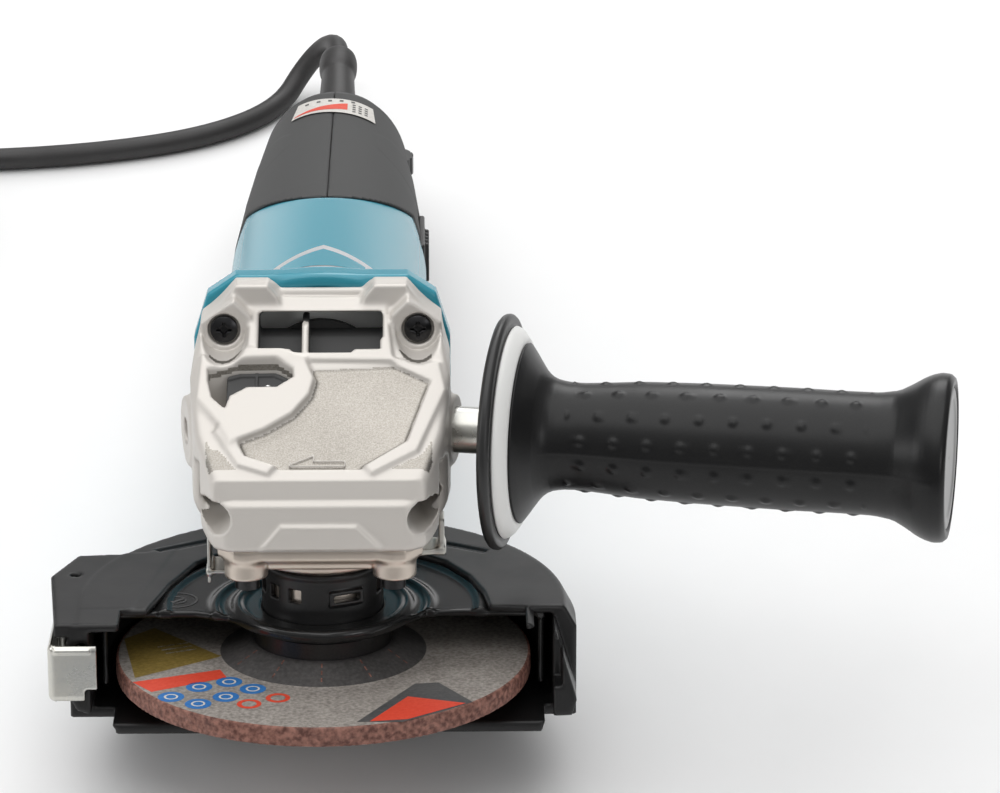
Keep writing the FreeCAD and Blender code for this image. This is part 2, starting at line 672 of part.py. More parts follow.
def controls():
    """The slide switch's knob and the speed dial."""
    knob = box("slider_plate", (29, 31.2), (149.5, 185), (67, 83))
    grips = [box("slider_rib", (31.2, 32.6), (y, y + 1.6), (68.5, 81.5)) for y in (156, 160, 164, 168, 172)]
    tongue = box("slider_tongue", (21.5, 29), (164, 172), (73, 77))
    node("switch_slider", fused("switch_slider", knob, tongue, *grips))
    wheel = rod("dial_wheel", 13.4, 81, 87, (14, 247))
    notches = [rod("dial_notch", 0.8, 80, 88, (14 + 13.6 * math.cos(math.radians(angle)),
                                               247 + 13.6 * math.sin(math.radians(angle))))
               for angle in range(0, 360, 20)]
    node("speed_dial", cut("speed_dial", wheel, *notches))
    # the shaft lock: a button in the housing's pocket with a pin under it
    cap = box("button_cap", (-25.9, -9.1), (-8.4, 9.4), (79.8, 83.6))
    stem = rod("button_stem", 3.4, 78.4, 79.9, (-14.8, 1.8))
    node("shaft_lock_button", cut("shaft_lock_button", fused("button_blank", cap, stem),
                                  rod("pin_seat", 2.2, 78, 81.5, (-14.8, 1.8))))
    node("shaft_lock_pin", rod("shaft_lock_pin", 2.2, 68.4, 81.5, (-14.8, 1.8)))
    node("shaft_lock_spring", cut("shaft_lock_spring", rod("lock_spring_out", 4.4, 74.7, 79.7, (-14.8, 1.8)),
                                  rod("lock_spring_in", 3.5, 74, 80, (-14.8, 1.8))))


# ---------------------------------------------------------------- guard, cover and their latch parts


def guard():
    """The steel wheel guard with its slotted band, and the clip-on cover round it."""
    rear_room = box("guard_room", (-90, 90), ("-guard_front", 90), (-30, 30))
    plate = common("guard_sector", rod("guard_disc", "guard_radius", "plate_low", "plate_high"), rear_room)
    centre = rod("guard_centre", 27, "plate_low", "plate_high")
    wall = cut("guard_wall", rod("guard_wall_out", "guard_radius", "-guard_bottom", "plate_high"),
               rod("guard_wall_in", "guard_radius - 1.6", "-guard_bottom - 1", "plate_high + 1"))
    wall = common("guard_rim", wall, rear_room)
    rim = doc.addObject("Part::Torus", "guard_roll")
    rim.Radius1 = 25.6
    rim.Radius2 = 1.6
    rim.Placement.Base = Vector(0, 0, size("plate_high"))
    body = fused("guard_body", plate, centre, wall, rim)
    eye = rod("guard_eye", "band_radius", "plate_low - 1", "plate_high + 3")
    node("wheel_guard", cut("wheel_guard", body, eye))
    band = ring("band_blank", "neck_radius + 0.08", "band_radius - 0.02", "plate_low", 30)
    slots = []
    for angle in range(0, 360, 24):
        slot = box("band_slot", (10, 25), (-2.2, 2.2), (21, 25.5))
        slot.Placement = Placement(Vector(), Rotation(Vector(0, 0, 1), angle - 90)).multiply(slot.Placement)
        slots.append(slot)
    node("guard_band", cut("guard_band", band, *slots))

    deep = "-cover_bottom"
    front_room = box("cover_room", (-90, 90), ("-cover_front", 90), (-30, 30))
    drum = rod("cover_drum", "cover_radius", deep, 11)
    skirt = box("cover_skirt", ("-cover_radius", "cover_radius"), ("-cover_front", 0), (deep, 11))
    drum_top = rod("cover_drum_top", "cover_radius - 3.5", 11, "cover_top")
    skirt_top = box("cover_skirt_top", ("-cover_radius + 3.5", "cover_radius - 3.5"), ("-cover_front", 0),
                    (11, "cover_top"))
    ear = slab("cover_ear", [(-60, -22.5), (-79, -22.5), (-82, 21), (-76, 40), (-55, 41)], 13, "cover_top")
    lug = box("cover_lug", (-81.2, -72), (-0.6, 4.6), (-12, -7.3))
    blank = common("cover_blank", fused("cover_mass", drum, skirt, drum_top, skirt_top, ear, lug), front_room)
    hollow = rod("cover_hollow", "guard_radius + 2.4", "-cover_bottom + cover_plate", "plate_high + 0.2")
    mouth = box("cover_mouth", ("-guard_radius - 2.4", "guard_radius + 2.4"), (-90, 0),
                ("-cover_bottom + cover_plate", "plate_high + 0.2"))
    top_eye = rod("cover_eye", "cover_inner", 10, "cover_top + 1")
    top_mouth = box("cover_eye_mouth", ("-cover_inner", "cover_inner"), (-90, 0), (10, "cover_top + 1"))
    low_eye = rod("cover_low_eye", 28, "-cover_bottom - 1", 0)
    low_mouth = box("cover_low_mouth", (-28, 28), (-90, -8), ("-cover_bottom - 1", 0))
    ear_hole = rod("ear_hole", 1.6, 10, 20, (-75.5, 20))
    pin_way = rod("pin_way", 1.52, -13, 15.5, (-78.6, 2))
    node("cutting_cover", cut("cutting_cover", blank, hollow, mouth, top_eye, top_mouth, low_eye, low_mouth,
                              ear_hole, pin_way))

    node("clip_pin", rod("clip_pin", 1.5, -12, 15.4, (-78.6, 2)))
    barrel = cut("clip_barrel", rod("clip_barrel_out", 2.5, -7, 12, (-78.6, 2)),
                 rod("clip_barrel_in", 1.56, -8, 13, (-78.6, 2)))
    side = box("clip_side", (-81.1, -80.1), (-24.8, 2), (-7, 12))
    face = box("clip_face", (-81.1, -66.5), (-25.8, -24.8), (-7, 12))
    hook = box("clip_hook", (-68.5, -67), (-24.8, -23.4), (-5, 10))
    node("cover_clip", fused("cover_clip", cut("clip_side_cut", side, rod("clip_side_room", 1.56, -8, 13, (-78.6, 2))),
                             barrel, face, hook))


def guard_latch():
    """The lever that locks the guard's band, its pivot, and the plated bracket opposite."""
    pivot = (24.5, 6)
    arm = slab("lever_arm", [(20.4, -2), (26, -4), (36.6, -1.5), (36.6, 6.5), (29, 12), (21, 11)], 30.9, 32.7)
    tab = box("lever_tab", (35, 36.6), (-1.5, 6.5), (30.9, 42))
    node("guard_lever", cut("guard_lever", fused("lever_blank", arm, tab), rod("lever_hole", 2.56, 30, 34, pivot)))
    node("lever_pivot", fused("lever_pivot", rod("pivot_shank", 2.5, 30.8, "box_bottom", pivot),
                              rod("pivot_head", 4, 29.3, 30.8, pivot)))
    stem = box("bracket_stem", (-33.4, -32.4), (-20, -8), (29, 42.8))
    foot = box("bracket_foot", (-33.4, -24.5), (-20, -8), (31.8, 33))
    node("guard_bracket", fused("guard_bracket", stem, foot))


# ---------------------------------------------------------------- side handle


def side_handle():
    """Stud, flange, damping ring, grip and end cap, turned about the swept handle axis."""
    spot = handle_spot(1)
    node("handle_stud", turned("handle_stud", [
        (0, -12.8), (3.95, -12.8), (3.95, -1.78), (7, -1.78), (7, 9.58), (4, 9.58), (4, 46), (0, 46)], spot))
    node("handle_flange", turned("handle_flange", [
        (4.05, 9.6), (24, 9.6), (32, 10.2), (35, 11.4), (35.4, 12.8), (34.6, 14.2), (32.2, 14.4), (4.05, 14.4)], spot))
    node("damping_ring", turned("damping_ring", [(20, 14.42), (31.8, 14.42), (31.2, 16), (28.2, 18.6), (20, 18.6)], spot))
    node("handle_grip", turned("handle_grip", [
        (4.05, 14.42), (19.9, 14.42), (19.9, 18.62), (27.6, 18.62), (23.6, 22), (18.7, 25), (16.2, 29), (15.9, 36),
        (16.6, 44), (17.4, 54), (17.9, 80), (18.2, 96), (18, 124), (19.2, 130), (22, 134.5), (24.2, 138.5), (25, 142),
        (24.6, 145), (21, 146), (21, 143.4), (17, 143.4), (17, 124), (9, 118), (4.05, 118)], spot))
    node("handle_end_cap", turned("handle_end_cap", [(0, 143.5), (20.9, 143.5), (20.9, 145.6), (0, 145.6)], spot))


# ---------------------------------------------------------------- sleeve, lead, coil and plug


def cord_sleeve():
    """The tapered rubber sleeve that the lead leaves through, rising from the tail's end face."""
    spot = sleeve_spot()
    node("cord_sleeve", turned("cord_sleeve", [
        (0, -6), (7.6, -6), (7.6, 3), (7.2, 12), (6.1, 40), (5.9, 46), (6.7, 49), (6.9, 54), (6.4, "sleeve_length"),
        (0, "sleeve_length")], spot))
    return spot.multVec(Vector(0, 0, size("sleeve_length"))), spot.Rotation.multVec(Vector(0, 0, 1))


def wire_path(points):
    """A path of straight runs joined by tangent arcs as large as the two runs beside each allow."""
    edges = []
    radii = []
    start = points[0]
    for before, corner, after in zip(points, points[1:], points[2:]):
        back, ahead = before - corner, after - corner
        short = min(back.Length, ahead.Length)
        turn = math.pi - back.getAngle(ahead)
        radius = 0.45 * short / math.tan(turn / 2)
        reach = 0.45 * short
        radii.append(radius)
        first = corner + back.normalize() * reach
        last = corner + ahead.normalize() * reach
        inward = (back + ahead).normalize()
        middle = corner + inward * (radius / math.cos(turn / 2) - radius)
        edges.append(Part.LineSegment(start, first).toShape())
        edges.append(Part.Arc(first, middle, last).toShape())
        start = last
    edges.append(Part.LineSegment(start, points[-1]).toShape())
    return Part.Wire(edges), radii


def lead(exit_point, exit_way):
    """The free lead on the bench: a tube, a closed coil and the plug, in the bench's frame."""
    low = size("cord_radius") + 0.1
    route = [exit_point, exit_point + exit_way * 9.8] + [Vector(*point) for point in (
        (-3.5, 370.3, 23.6), (-9.2, 373.9, 16.2), (-15, 371.3, 9), (-20, 363.3, low + 0.1), (-28.5, 351.8, low),
        (-42.5, 341.8, low + 0.05), (-61, 334, low), (-87, 327.8, low + 0.05), (-118, 323.9, low),
        (-150, 322.9, low + 0.05), (-170, 323, low))]
    path, radii = wire_path(route)
    print("lead radii", [round(radius, 1) for radius in radii])
    radius = size("cord_radius")
    start_way = (route[1] - route[0]).normalize()
    section = Part.Wire(Part.makeCircle(radius, route[0], start_way))
    tube = path.makePipeShell([section], True, False, 2)
    if tube.Volume < 0:
        tube.reverse()
    print("lead volume share", round(tube.Volume / (math.pi * radius ** 2 * path.Length), 4),
          "length", round(path.Length, 1))
    item = doc.addObject("Part::Feature", "supply_cord")
    item.Shape = tube
    item.Label = "supply_cord"
    bench_nodes["supply_cord"] = item

    # the coil lies in front of the lead's line, so the lead runs into it along its rear
    middle = Vector(-185, route[-1].y - size("coil_diameter") / 2, 0.1)
    half = 12
    coil = doc.addObject("Part::Feature", "cord_coil")
    pack = Part.makeCylinder(size("coil_diameter") / 2 + half, 2 * half, middle)
    coil.Shape = pack.cut(Part.makeCylinder(size("coil_diameter") / 2 - half, 2 * half, middle))
    coil.Label = "cord_coil"
    bench_nodes["cord_coil"] = coil

    # the plug lies on its side where the coil's last turn leaves forwards
    plug_radius = 18.5
    nose = Vector(middle.x - size("coil_diameter") / 2 - 2, middle.y - 34, plug_radius + 0.1)
    forwards = Vector(0, -1, 0)
    plug = doc.addObject("Part::Feature", "mains_plug")
    taper = Part.makeCone(6.5, 13.5, 22, nose, forwards)
    plug.Shape = taper.fuse(Part.makeCylinder(plug_radius, 28, nose + forwards * 22, forwards))
    plug.Label = "mains_plug"
    bench_nodes["mains_plug"] = plug
    pins = doc.addObject("Part::Feature", "plug_pins")
    pins.Shape = Part.Compound([
        Part.makeCylinder(2.4, 19, nose + forwards * 50.02 + Vector(shift, 0, 0), forwards)
        for shift in (-9.5, 9.5)])
    pins.Label = "plug_pins"
    bench_nodes["plug_pins"] = pins


# ---------------------------------------------------------------- build, set down and write


disc_and_spindle()
bevel_gears()
armature()
bearings()
gear_housing()
bearing_box()
screws()
motor_housing()
motor_inside()
tail()
controls()
guard()
guard_latch()
side_handle()
sleeve_end, sleeve_way = cord_sleeve()
doc.removeObject(probe.Name)
doc.recompute()

# the tool rests on the rear edge of the cover's underside and on the underside of the tail
foot_run = size("tail_foot") - (size("cover_radius"))
foot_rise = size("motor_axis") - size("tail_drop") + size("cover_bottom")
tilt = math.degrees(math.atan2(foot_rise, foot_run))
set_down = Placement(Vector(), Rotation(Vector(1, 0, 0), -tilt))
bounds = FreeCAD.BoundBox()
for item in nodes.values():
    shape = item.Shape.copy()
    shape.transformShape(set_down.toMatrix(), True)
    bounds.add(shape.optimalBoundingBox(False))
set_down.Base = Vector(-bounds.Center.x, -bounds.Center.y, -bounds.ZMin)
for item in nodes.values():
    item.Placement = set_down.multiply(item.Placement)
print("tilt", round(tilt, 4), "shift", [round(value, 4) for value in set_down.Base])

# the bench's own frame keeps the spindle's foot as its zero, so the lead's points stay readable
bench = Vector(set_down.Base.x, set_down.Base.y, 0)
lead(set_down.multVec(sleeve_end) - bench, set_down.Rotation.multVec(sleeve_way))
for item in bench_nodes.values():
    item.Placement.Base = bench
nodes.update(bench_nodes)
doc.recompute()

for item in doc.Objects:
    if "Invalid" in item.State or "Error" in item.State:
        raise RuntimeError(f"{item.Label} did not build: {item.State}")
for name, item in nodes.items():
    if item.Shape.isNull() or not item.Shape.isValid():
        raise RuntimeError(f"{name} has no valid shape")
for name, item in nodes.items():
    item.Shape.exportStep(os.path.join("parts", name + ".step"))
    print(f"{name:24s} solids {len(item.Shape.Solids)} volume {item.Shape.Volume / 1000:8.2f} cm3")
print("sub-parts", len(nodes))
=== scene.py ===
"""The look of a corded angle grinder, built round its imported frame.

Every shape is given in the tool's own frame, in millimetres: the spindle's axis is Z, the disc's upper
face is Z = 0, the motor lies along +Y and the side handle stands out towards +X.  ToolFrame lays the
shapes down as the tool stands on its bench, in metres.  The lead's points are in the bench's frame.
"""

import json
import logging
import math
from dataclasses import dataclass
from enum import Enum
from typing import Callable, Sequence

import bpy
import numpy as np
from mathutils import Matrix


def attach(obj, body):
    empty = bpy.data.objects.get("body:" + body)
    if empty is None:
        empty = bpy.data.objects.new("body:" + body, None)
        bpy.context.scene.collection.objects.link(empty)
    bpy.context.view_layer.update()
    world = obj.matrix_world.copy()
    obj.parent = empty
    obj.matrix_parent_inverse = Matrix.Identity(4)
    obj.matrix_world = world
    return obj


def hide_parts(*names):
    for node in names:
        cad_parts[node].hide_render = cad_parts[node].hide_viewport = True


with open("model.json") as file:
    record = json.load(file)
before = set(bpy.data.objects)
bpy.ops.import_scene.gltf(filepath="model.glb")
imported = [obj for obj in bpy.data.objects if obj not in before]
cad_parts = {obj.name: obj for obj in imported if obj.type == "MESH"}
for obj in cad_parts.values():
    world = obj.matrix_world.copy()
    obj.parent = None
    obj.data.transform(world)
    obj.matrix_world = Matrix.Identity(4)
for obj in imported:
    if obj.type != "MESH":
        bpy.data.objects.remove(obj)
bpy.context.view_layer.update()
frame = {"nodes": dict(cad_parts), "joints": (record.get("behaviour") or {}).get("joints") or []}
LOG = logging.getLogger("angle_grinder")

Pair = tuple[float, float]
Triple = tuple[float, float, float]
Rule = Callable[[np.ndarray, np.ndarray, np.ndarray], np.ndarray]


# ---------------------------------------------------------------- frames


@dataclass(frozen=True)
class ToolFrame:
    """The tool's own frame as it is laid down on the bench.

    Args:
        tilt: how far the spindle's axis leans from upright, in radians.
        shift: where the tool's zero point lies, in metres.
    """

    tilt: float
    shift: Triple

    @classmethod
    def from_spindle(cls, joints: list[dict]) -> "ToolFrame":
        """Read the frame from the spindle's joint, whose point is 20 mm above the disc's upper face."""
        joint = next(item for item in joints if item["name"] == "spindle_spin")
        axis = np.array(joint["axis"])
        zero = np.array(joint["pos_m"]) - 0.020 * axis
        return cls(math.atan2(axis[1], axis[2]), tuple(zero))

    def turn(self, ways: np.ndarray) -> np.ndarray:
        """Turn directions from the tool's frame into the row's frame."""
        c, s = math.cos(self.tilt), math.sin(self.tilt)
        matrix = np.array([[1, 0, 0], [0, c, s], [0, -s, c]])
        return np.asarray(ways, float) @ matrix.T

    def place(self, points: np.ndarray) -> np.ndarray:
        """Lay points given in the tool's frame, in millimetres, down in the row's frame, in metres."""
        return self.turn(points) / 1000 + np.array(self.shift)


TOOL = ToolFrame.from_spindle(frame["joints"])
MOTOR_AXIS = 75.0
BARREL_RADIUS = 31.8
BORE_RADIUS = 28.8
TAIL_SQUARENESS = 2.15
GRIP_SWELL = 0.35
SLEEVE_ROOT = (0, 281, 83)
SLEEVE_LENGTH = 58.2
SLEEVE_RISE = math.radians(15.6)
HANDLE_SWEEP = math.radians(11.5)


# ---------------------------------------------------------------- solids given by a distance rule


def soft_min(a: np.ndarray, b: np.ndarray, fillet: float) -> np.ndarray:
    """The smaller of two distances, with a round fillet where they meet."""
    if fillet <= 0:
        return np.minimum(a, b)
    overlap = np.maximum(fillet - np.abs(a - b), 0) / fillet
    return np.minimum(a, b) - overlap * overlap * fillet / 4


def outline_distance(u: np.ndarray, v: np.ndarray, corners: Sequence[Pair]) -> np.ndarray:
    """The signed distance to a closed outline: negative inside.

    The distance is the least of those to its edges, and a point is inside where a line to the side
    crosses an odd number of them.
    """
    nearest = np.full(np.broadcast(u, v).shape, np.inf)
    inside = np.zeros(nearest.shape, bool)
    for (au, av), (bu, bv) in zip(corners, list(corners[1:]) + [corners[0]]):
        eu, ev = bu - au, bv - av
        wu, wv = u - au, v - av
        share = np.clip((wu * eu + wv * ev) / (eu * eu + ev * ev), 0, 1)
        nearest = np.minimum(nearest, (wu - eu * share) ** 2 + (wv - ev * share) ** 2)
        above, below = v >= av, v < bv
        left = eu * wv > ev * wu
        inside ^= (above & below & left) | (~above & ~below & ~left)
    return np.where(inside, -1, 1) * np.sqrt(nearest)


@dataclass(frozen=True)
class Form:
    """A solid given by a rule for the distance to its surface, negative inside.

    Args:
        rule: takes x, y and z in millimetres and returns the distance.
    """

    rule: Rule

    @classmethod
    def block(cls, low: Triple, high: Triple, rounding: float = 0.0) -> "Form":
        """A box with rounded edges: how far a point is outside the core box, less the rounding."""
        centre = (np.array(low) + np.array(high)) / 2
        half = (np.array(high) - np.array(low)) / 2 - rounding

        def rule(x: np.ndarray, y: np.ndarray, z: np.ndarray) -> np.ndarray:
            """The distance to the core box, less the rounding."""
            q = [np.abs(value - centre[i]) - half[i] for i, value in enumerate((x, y, z))]
            out = np.sqrt(sum(np.maximum(item, 0) ** 2 for item in q))
            return out + np.minimum(np.maximum(np.maximum(q[0], q[1]), q[2]), 0) - rounding

        return cls(rule)

    @classmethod
    def turned(cls, profile: Sequence[Pair], rounding: float = 0.0) -> "Form":
        """A body turned about Z from an outline of (radius, height), grown by the rounding."""
        return cls(lambda x, y, z: outline_distance(np.hypot(x, y), z, profile) - rounding)

    @classmethod
    def rod(cls, radius: float, low: float, high: float, at: Pair = (0, 0), along: str = "Z",
            rounding: float = 0.0) -> "Form":
        """A cylinder along X, Y or Z; at holds the other two coordinates in X, Y, Z order."""
        lane = "XYZ".index(along)
        others = [i for i in range(3) if i != lane]

        def rule(*point: np.ndarray) -> np.ndarray:
            """The larger of the distances past the side and past the ends, rounded where they meet."""
            side = np.hypot(point[others[0]] - at[0], point[others[1]] - at[1]) - radius + rounding
            end = np.abs(point[lane] - (low + high) / 2) - (high - low) / 2 + rounding
            out = np.sqrt(np.maximum(side, 0) ** 2 + np.maximum(end, 0) ** 2)
            return out + np.minimum(np.maximum(side, end), 0) - rounding

        return cls(rule)

    @classmethod
    def plate(cls, corners: Sequence[Pair], low: float, high: float, along: str = "Z",
              rounding: float = 0.0) -> "Form":
        """An outline carried along one axis; its corners hold the other two coordinates in order."""
        lane = "XYZ".index(along)
        others = [i for i in range(3) if i != lane]

        def rule(*point: np.ndarray) -> np.ndarray:
            """The larger of the distances past the outline and past the ends, rounded where they meet."""
            side = outline_distance(point[others[0]], point[others[1]], corners) + rounding
            end = np.abs(point[lane] - (low + high) / 2) - (high - low) / 2 + rounding
            out = np.sqrt(np.maximum(side, 0) ** 2 + np.maximum(end, 0) ** 2)
            return out + np.minimum(np.maximum(side, end), 0) - rounding

        return cls(rule)

    @classmethod
    def oval_run(cls, stations: Sequence[Triple], power: float = 2.0) -> "Form":
        """Ovals strung along the motor's axis.

        Args:
            stations: (Y, half width, half height) of each oval; sizes change evenly between them.
            power: 2 gives ellipses, and more gives squarer ovals.
        """
        ys, widths, heights = (np.array(column) for column in zip(*stations))

        def rule(x: np.ndarray, y: np.ndarray, z: np.ndarray) -> np.ndarray:
            """The oval's reach at this Y less one, times its smaller half size."""
            width, height = np.interp(y, ys, widths), np.interp(y, ys, heights)
            reach = (np.abs(x / width) ** power + np.abs((z - MOTOR_AXIS) / height) ** power) ** (1 / power)
            side = (reach - 1) * np.minimum(width, height)
            return np.maximum(side, np.maximum(ys[0] - y, y - ys[-1]))

        return cls(rule)

    def moved(self, zero: Triple, axes: np.ndarray) -> "Form":
        """The same solid with its own zero point and its own X, Y and Z along the rows of axes."""
        def rule(x: np.ndarray, y: np.ndarray, z: np.ndarray) -> np.ndarray:
            """The solid's own rule at the point seen from its own frame."""
            gap = (x - zero[0], y - zero[1], z - zero[2])
            own = [sum(way[i] * gap[i] for i in range(3)) for way in axes]
            return self.rule(*own)

        return Form(rule)

    def joined(self, *others: "Form", fillet: float = 0.0) -> "Form":
        """This solid and others together, with a fillet in the corners between them."""
        def rule(x: np.ndarray, y: np.ndarray, z: np.ndarray) -> np.ndarray:
            """The smallest of the distances, blended over the fillet."""
            result = self.rule(x, y, z)
            for other in others:
                result = soft_min(result, other.rule(x, y, z), fillet)
            return result

        return Form(rule)

    def within(self, *others: "Form", fillet: float = 0.0) -> "Form":
        """What this solid shares with others, with its new edges rounded."""
        def rule(x: np.ndarray, y: np.ndarray, z: np.ndarray) -> np.ndarray:
            """The largest of the distances, blended over the fillet."""
            result = self.rule(x, y, z)
            for other in others:
                result = -soft_min(-result, -other.rule(x, y, z), fillet)
            return result

        return Form(rule)

    def without(self, *tools: "Form", fillet: float = 0.0) -> "Form":
        """This solid with others taken away, with its new edges rounded."""
        def rule(x: np.ndarray, y: np.ndarray, z: np.ndarray) -> np.ndarray:
            """The larger of this distance and each tool's, turned inside out, blended over the fillet."""
            result = self.rule(x, y, z)
            for tool in tools:
                result = -soft_min(-result, tool.rule(x, y, z), fillet)
            return result

        return Form(rule)

    def both_sides(self) -> "Form":
        """This solid and its mirror image across the plane X = 0."""
        return Form(lambda x, y, z: self.rule(np.abs(x), y, z))


CORNERS = np.array([(i, j, k) for i in (0, 1) for j in (0, 1) for k in (0, 1)])
CELL_EDGES = [(a, b) for a in range(8) for b in range(a + 1, 8) if np.abs(CORNERS[a] - CORNERS[b]).sum() == 1]
BLOCK = 8


def skin(form: Form, low: Triple, high: Triple, step: float) -> tuple[np.ndarray, np.ndarray]:
    """Lay a net of four-sided faces over a solid's surface.

    Space is cut into cells.  Each cell that the surface passes through gets one point, the mean of
    where the surface crosses the cell's edges, which is then slid along the distance's slope onto the
    surface.  Each cell edge that the surface crosses gets one face, between the four cells round it.
    Only blocks of cells near the surface are worked out.

    Args:
        form: the solid.
        low, high: the corners of the space that holds it, in millimetres.
        step: the cells' size.

    Returns:
        The points and the faces.
    """
    low_corner = np.array(low, float) - 1.5 * step
    counts = np.ceil((np.array(high) + 1.5 * step - low_corner) / (step * BLOCK)).astype(int)
    axes = [low_corner[i] + step * np.arange(counts[i] * BLOCK) for i in range(3)]
    middles = [axis.reshape(-1, BLOCK).mean(axis=1) for axis in axes]
    coarse = form.rule(*np.meshgrid(*middles, indexing="ij"))
    near = np.abs(coarse) < step * BLOCK * 1.3
    values = np.broadcast_to(coarse[..., None, None, None], (*counts, BLOCK, BLOCK, BLOCK)).copy()
    places = np.argwhere(near)
    parts = [axes[i].reshape(-1, BLOCK)[places[:, i]] for i in range(3)]
    xs, ys, zs = parts[0][:, :, None, None], parts[1][:, None, :, None], parts[2][:, None, None, :]
    shape = (len(places), BLOCK, BLOCK, BLOCK)
    values[near] = form.rule(*(np.broadcast_to(item, shape) for item in (xs, ys, zs)))
    size = [count * BLOCK for count in counts]
    field_values = values.transpose(0, 3, 1, 4, 2, 5).reshape(size)

    inside = field_values < 0
    total = sum(inside[i:size[0] - 1 + i, j:size[1] - 1 + j, k:size[2] - 1 + k].astype(np.int8)
                for i, j, k in CORNERS)
    cells = np.argwhere((total > 0) & (total < 8))
    index = np.full([count - 1 for count in size], -1)
    index[tuple(cells.T)] = np.arange(len(cells))
    crossing_sum = np.zeros((len(cells), 3))
    crossing_count = np.zeros(len(cells))
    at_corner = [field_values[tuple((cells + corner).T)] for corner in CORNERS]
    for a, b in CELL_EDGES:
        crossed = (at_corner[a] < 0) != (at_corner[b] < 0)
        share = np.where(crossed, at_corner[a] / np.where(crossed, at_corner[a] - at_corner[b], 1), 0)
        crossing_sum += crossed[:, None] * (CORNERS[a] + share[:, None] * (CORNERS[b] - CORNERS[a]))
        crossing_count += crossed
    points = low_corner + step * (cells + crossing_sum / crossing_count[:, None])

    faces = []
    for lane in range(3):
        first, second = [i for i in range(3) if i != lane]
        ahead = np.zeros(3, int)
        ahead[lane] = 1
        start = inside[tuple(slice(0, size[i] - ahead[i]) for i in range(3))]
        end = inside[tuple(slice(ahead[i], size[i]) for i in range(3))]
        spots = np.argwhere(start != end)
        spots = spots[(spots[:, first] > 0) & (spots[:, second] > 0)]
        leaves = start[tuple(spots.T)]
        ring = []
        for back_first, back_second in ((1, 1), (0, 1), (0, 0), (1, 0)):
            cell = spots.copy()
            cell[:, first] -= back_first
            cell[:, second] -= back_second
            ring.append(index[tuple(cell.T)])
        quads = np.stack(ring, axis=1)
        flip = leaves if lane != 1 else ~leaves
        quads[~flip] = quads[~flip][:, ::-1]
        faces.append(quads)

    nudge = 0.25 * step
    for _ in range(2):
        x, y, z = points.T
        here = form.rule(x, y, z)
        slope = np.stack([form.rule(x + nudge, y, z) - here, form.rule(x, y + nudge, z) - here,
                          form.rule(x, y, z + nudge) - here], axis=1) / nudge
        steep = np.maximum((slope ** 2).sum(axis=1), 0.25)
        move = slope * (here / steep)[:, None]
        length = np.maximum(np.linalg.norm(move, axis=1), 1e-9)
        points = points - move * np.minimum(1, 0.5 * step / length)[:, None]
    return outwards(points, np.concatenate(faces))


# ---------------------------------------------------------------- surfaces on a grid


def grid_faces(rows: int, columns: int, close_rows: bool, close_columns: bool) -> np.ndarray:
    """The faces of a grid of points, in which a closed side joins its last line to its first."""
    i = np.arange(rows if close_rows else rows - 1)
    j = np.arange(columns if close_columns else columns - 1)
    i, j = np.meshgrid(i, j, indexing="ij")
    i_next, j_next = (i + 1) % rows, (j + 1) % columns
    corners = (i * columns + j, i * columns + j_next, i_next * columns + j_next, i_next * columns + j)
    return np.stack([item.ravel() for item in corners], axis=1)


def lathe(profile: Sequence[Pair], turns: int = 128, spacing: float = 1.0,
          bend: float = 0.35) -> tuple[np.ndarray, np.ndarray]:
    """A closed surface turned about Z.

    The outline is walked at even steps and softened at its corners; each step's point goes round the
    axis at radius r: (r cos a, r sin a, height).

    Args:
        profile: the outline's (radius, height), walked with the solid on its left.
        turns: points round the axis.
        spacing: the step along the outline.
        bend: how far each corner's softening reaches, in millimetres.

    Returns:
        The points and the faces.
    """
    points = np.array(profile, float)
    closed = np.vstack([points, points[:1]])
    pieces = []
    for start, end in zip(closed[:-1], closed[1:]):
        length = np.linalg.norm(end - start)
        reach = min(bend, 0.4 * length)
        shares = np.concatenate([[reach / length],
                                 np.linspace(reach, length - reach,
                                             max(2, int(length / spacing)))[1:] / length])
        pieces.append(start + shares[:, None] * (end - start))
    line = np.vstack(pieces)
    line[:, 0] = np.maximum(line[:, 0], 0.0)
    angle = np.linspace(0, 2 * math.pi, turns, endpoint=False)
    r, h = line[:, 0][:, None], line[:, 1][:, None]
    net = np.stack([r * np.cos(angle), r * np.sin(angle), np.broadcast_to(h, (len(line), turns))], axis=2)
    return outwards(net.reshape(-1, 3), grid_faces(len(line), turns, True, True))


def ring_path(points: np.ndarray, radius: float, sides: int = 16) -> tuple[np.ndarray, np.ndarray]:
    """A round bar along a path: circles square to the path's direction, joined, with flat ends."""
    ways = np.gradient(points, axis=0)
    ways /= np.linalg.norm(ways, axis=1)[:, None]
    side = np.cross(ways, [0.0, 0.0, 1.0])
    side = np.where(np.linalg.norm(side, axis=1)[:, None] < 1e-6, [1.0, 0.0, 0.0], side)
    side /= np.linalg.norm(side, axis=1)[:, None]
    over = np.cross(side, ways)
    angle = np.linspace(0, 2 * math.pi, sides, endpoint=False)
    net = points[:, None] + radius * (np.cos(angle)[None, :, None] * side[:, None]
                                      + np.sin(angle)[None, :, None] * over[:, None])
    faces = grid_faces(len(points), sides, False, True).tolist()
    last = (len(points) - 1) * sides
    faces += [list(range(sides)), list(range(last + sides - 1, last - 1, -1))]
    return net.reshape(-1, 3), faces


# ---------------------------------------------------------------- finishes


class Texture(Enum):
    """The small relief that a surface has."""

    SMOOTH = "smooth"
    FINE_GRAIN = "fine grain"
    SAND_CAST = "sand cast"
    GRIT = "grit"
    BRUSHED = "brushed"


